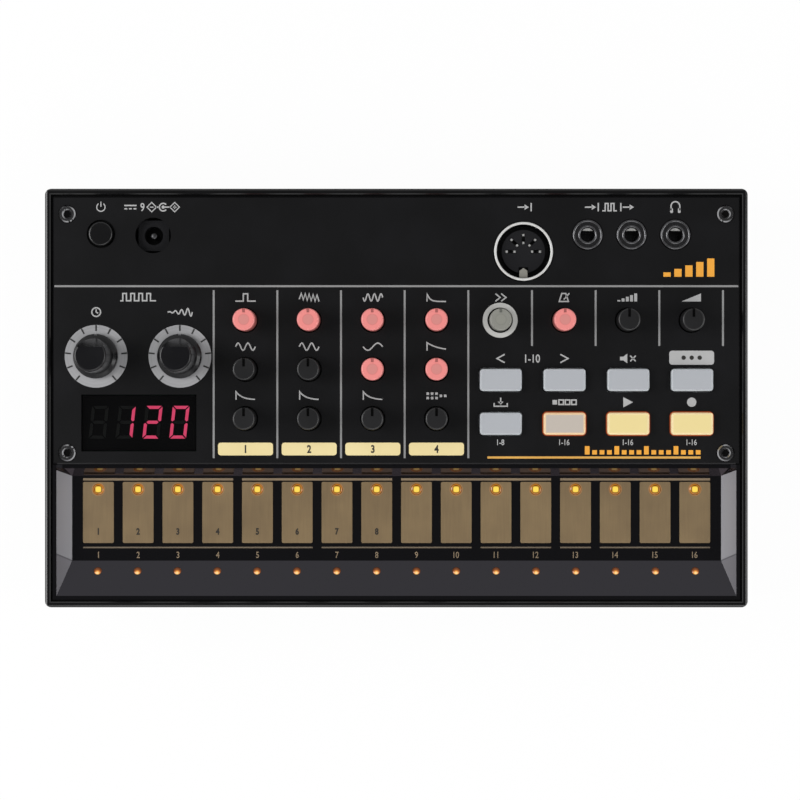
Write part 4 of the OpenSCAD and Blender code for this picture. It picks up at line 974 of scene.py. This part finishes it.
# painted shade: faces that don't look up turn near black, and the key below the panel's top a darker nickel
upward = add(tree, "Math", {0: facing.outputs["Z"], 1: SHELL_LEAN}, operation="GREATER_THAN")
proud = add(tree, "Math", {0: level.outputs["Z"], 1: panel_high.z}, operation="GREATER_THAN")
depth_shaded_tone = add(tree, "Mix", {"Factor": proud, "A": "#9A9890", "B": "#ECECEA"}, data_type="RGBA")
wall_shaded_tone = add(tree, "Mix", {"Factor": upward, "A": "#202022", "B": depth_shaded_tone}, data_type="RGBA")
grit = add(tree, "TexNoise", {"Vector": place, "Scale": 1 / SHELL_GRIT, "Detail": 3.0})
gloss = add(tree, "MapRange", {"Value": grit, "To Min": SHELL_ROUGH[0], "To Max": SHELL_ROUGH[1]})
feed(shader, {"Base Color": wall_shaded_tone, "Roughness": gloss})
dress(shell_nickel, "din_shell")
dress(plated("contact_tin", "#CACAC8", "#DEDEDC", 0.3 * MM, 0.5), "din_contacts")
leaf_span = math.degrees(math.acos(LEAF_FROM / JACK_BORE_R))
leaf = arc(JACK_BORE_R, 90 - leaf_span, 90 + leaf_span, LEAF_POINTS)
leaf_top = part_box("audio_jacks")[1].z - LEAF_DOWN
leaves = []
for x in jack_x:
    points, faces = prism(leaf + np.array([x, jack_y]), -LEAF_T, 0)
    points[:, 2] += leaf_top - LEAF_TILT * (jack_y + JACK_BORE_R - points[:, 1])
    leaves.append((points, faces))
leaf_nickel = plated("leaf_nickel", "#8C8C8A", "#A2A2A0", 0.3 * MM, 0.35, metal=0.6)
piece("jack_spring_leaves", leaves, leaf_nickel)


def dome(x, y, r, rise, base, rings=6, sides=24):
    """Dome over a flat base: radius and height follow a quarter of an ellipse."""
    lift = np.linspace(0, math.pi / 2, rings + 1)[:-1]
    radius = np.repeat(np.cos(lift) * r, sides)
    around = np.tile(np.arange(sides) * 2 * math.pi / sides, rings)
    height = base + rise * np.repeat(np.sin(lift), sides)
    shell = np.column_stack([x + radius * np.cos(around), y + radius * np.sin(around), height])
    k = np.arange((rings - 1) * sides)
    after = k // sides * sides + (k % sides + 1) % sides
    faces = np.column_stack([k, after, after + sides, k + sides]).tolist()
    last = (rings - 1) * sides + np.arange(sides)
    crown = np.column_stack([last, np.roll(last, -1), np.full(sides, rings * sides)]).tolist()
    return np.concatenate([shell, [[x, y, base + rise]]]), [*faces, *crown, list(range(sides))[::-1]]


pin_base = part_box("dc_jack")[1].z - PIN_DOWN
pin_steel = plated("pin_steel", "#444446", "#5A5A5C", 0.3 * MM, 0.4)
piece("dc_pin_tip", [dome(dc_x, dc_y, PIN_R, PIN_DOME, pin_base)], pin_steel)

# Screws. Steel heads with hexagon sockets hold the panel and cross heads the casing; the zinc plating
# keeps a turned sheen, and a dark painted shade lies in the bottom of each hexagon socket.
HEAD_R = 2.3 * MM
HEX_R = 0.99 * MM
HEX_DEEP = 1.0 * MM
SOCKET_SHADE_T = 0.4 * MM
dress(plated("screw_dark_zinc", "#969698", "#ACACAE", 0.25 * MM, 0.15), "panel_screws", "case_screws")
screws_low, screws_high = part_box("panel_screws")
hex_floor = screws_high.z - HEX_DEEP
# painted shade: a black slab at the bottom of each hexagon socket
sockets = []
for x in (screws_low.x + HEAD_R, screws_high.x - HEAD_R):
    for y in (screws_low.y + HEAD_R, screws_high.y - HEAD_R):
        sockets.append(prism(disc(x, y, HEX_R, sides=6), hex_floor - INK_SINK, hex_floor + SOCKET_SHADE_T))
piece("screw_socket_shade", sockets, black_shade_finish)

# Floor, light and camera. A white paper floor, a soft sky that is dark right overhead so that satin
# black stays black, softboxes from three sides, and a camera that looks straight down.
PHOTO_SPAN = 219.6 * MM
PHOTO_X = 1.0 * MM
PHOTO_Y = -0.54 * MM
CAMERA_UP = 660 * MM
CAMERA_RIGHT = 7.5 * MM
FLOOR_HALF = 6.0
FLOOR_GLOW = 0.96
SKY_HORIZON = 0.95
SKY = ((0.12, 0.9), (0.4, 0.55), (0.8, 0.5), (0.93, 0.07))
SKY_TOP = 0.06
floor_mesh = bpy.data.meshes.new("studio_floor")
floor_points = [(*corner, 0) for corner in bar(-FLOOR_HALF, -FLOOR_HALF, FLOOR_HALF, FLOOR_HALF).tolist()]
floor_mesh.from_pydata(floor_points, [], [(0, 1, 2, 3)])
floor = bpy.data.objects.new("studio_floor", floor_mesh)
bpy.context.collection.objects.link(floor)
paper_white, tree, shader, _ = start("studio_paper", Base_Color="#F2F2F2", Roughness=0.9)
rays = add(tree, "LightPath")
direct = add(tree, "Math", {0: rays.outputs["Is Camera Ray"], 1: rays.outputs["Is Glossy Ray"]},
             operation="MAXIMUM")
seen = add(tree, "Math", {0: direct, 1: rays.outputs["Is Transmission Ray"]}, operation="MAXIMUM")
share = add(tree, "Math", {0: seen, 1: FLOOR_GLOW}, operation="MULTIPLY")
white = add(tree, "Emission", {"Color": "#FFFFFF", "Strength": 1.0})
mixed = add(tree, "MixShader", {0: share, 1: shader, 2: white})
feed(tree.nodes["Material Output"], {"Surface": mixed})
floor_mesh.materials.append(paper_white)

world = bpy.data.worlds.new("studio_sky")
world.use_nodes = True
bpy.context.scene.world = world
tree = world.node_tree
tree.nodes.clear()
sky = add(tree, "SeparateXYZ", {"Vector": add(tree, "TexCoord").outputs["Generated"]})
shade = add(tree, "ValToRGB", {"Fac": sky.outputs["Z"]})
shade.color_ramp.elements[0].color = (SKY_HORIZON, SKY_HORIZON, SKY_HORIZON, 1)
shade.color_ramp.elements[1].color = (SKY_TOP, SKY_TOP, SKY_TOP, 1)
for height, level in SKY:
    shade.color_ramp.elements.new(height).color = (level, level, level, 1)
air = add(tree, "Background", {"Strength": 1.0, "Color": shade})
add(tree, "OutputWorld", {"Surface": air})


def softbox(name, place, size, watts):
    """Hangs a square softbox at a place and turns it to the middle of the object."""
    lamp = bpy.data.lights.new(name, "AREA")
    lamp.size = size
    lamp.energy = watts
    holder = bpy.data.objects.new(name, lamp)
    bpy.context.collection.objects.link(holder)
    x, y, z = place
    holder.location = place
    holder.rotation_euler = (math.atan2(math.hypot(x, y), z), 0, math.atan2(y, x) + math.pi / 2)


softbox("softbox_left", (-0.7, 0.05, 0.62), 0.5, 5.0)
softbox("softbox_right", (0.7, -0.15, 0.62), 0.5, 2.6)
softbox("softbox_front", (0.1, -0.7, 0.75), 0.7, 2.7)

lens = bpy.data.cameras.new("photo_camera")
lens.lens = lens.sensor_width * CAMERA_UP / PHOTO_SPAN
camera = bpy.data.objects.new("photo_camera", lens)
lens.shift_x = -CAMERA_RIGHT / PHOTO_SPAN
camera.location = (PHOTO_X + CAMERA_RIGHT, PHOTO_Y, panel_high.z + CAMERA_UP)
bpy.context.collection.objects.link(camera)
bpy.context.scene.camera = camera
bpy.context.scene.view_settings.view_transform = "Standard"
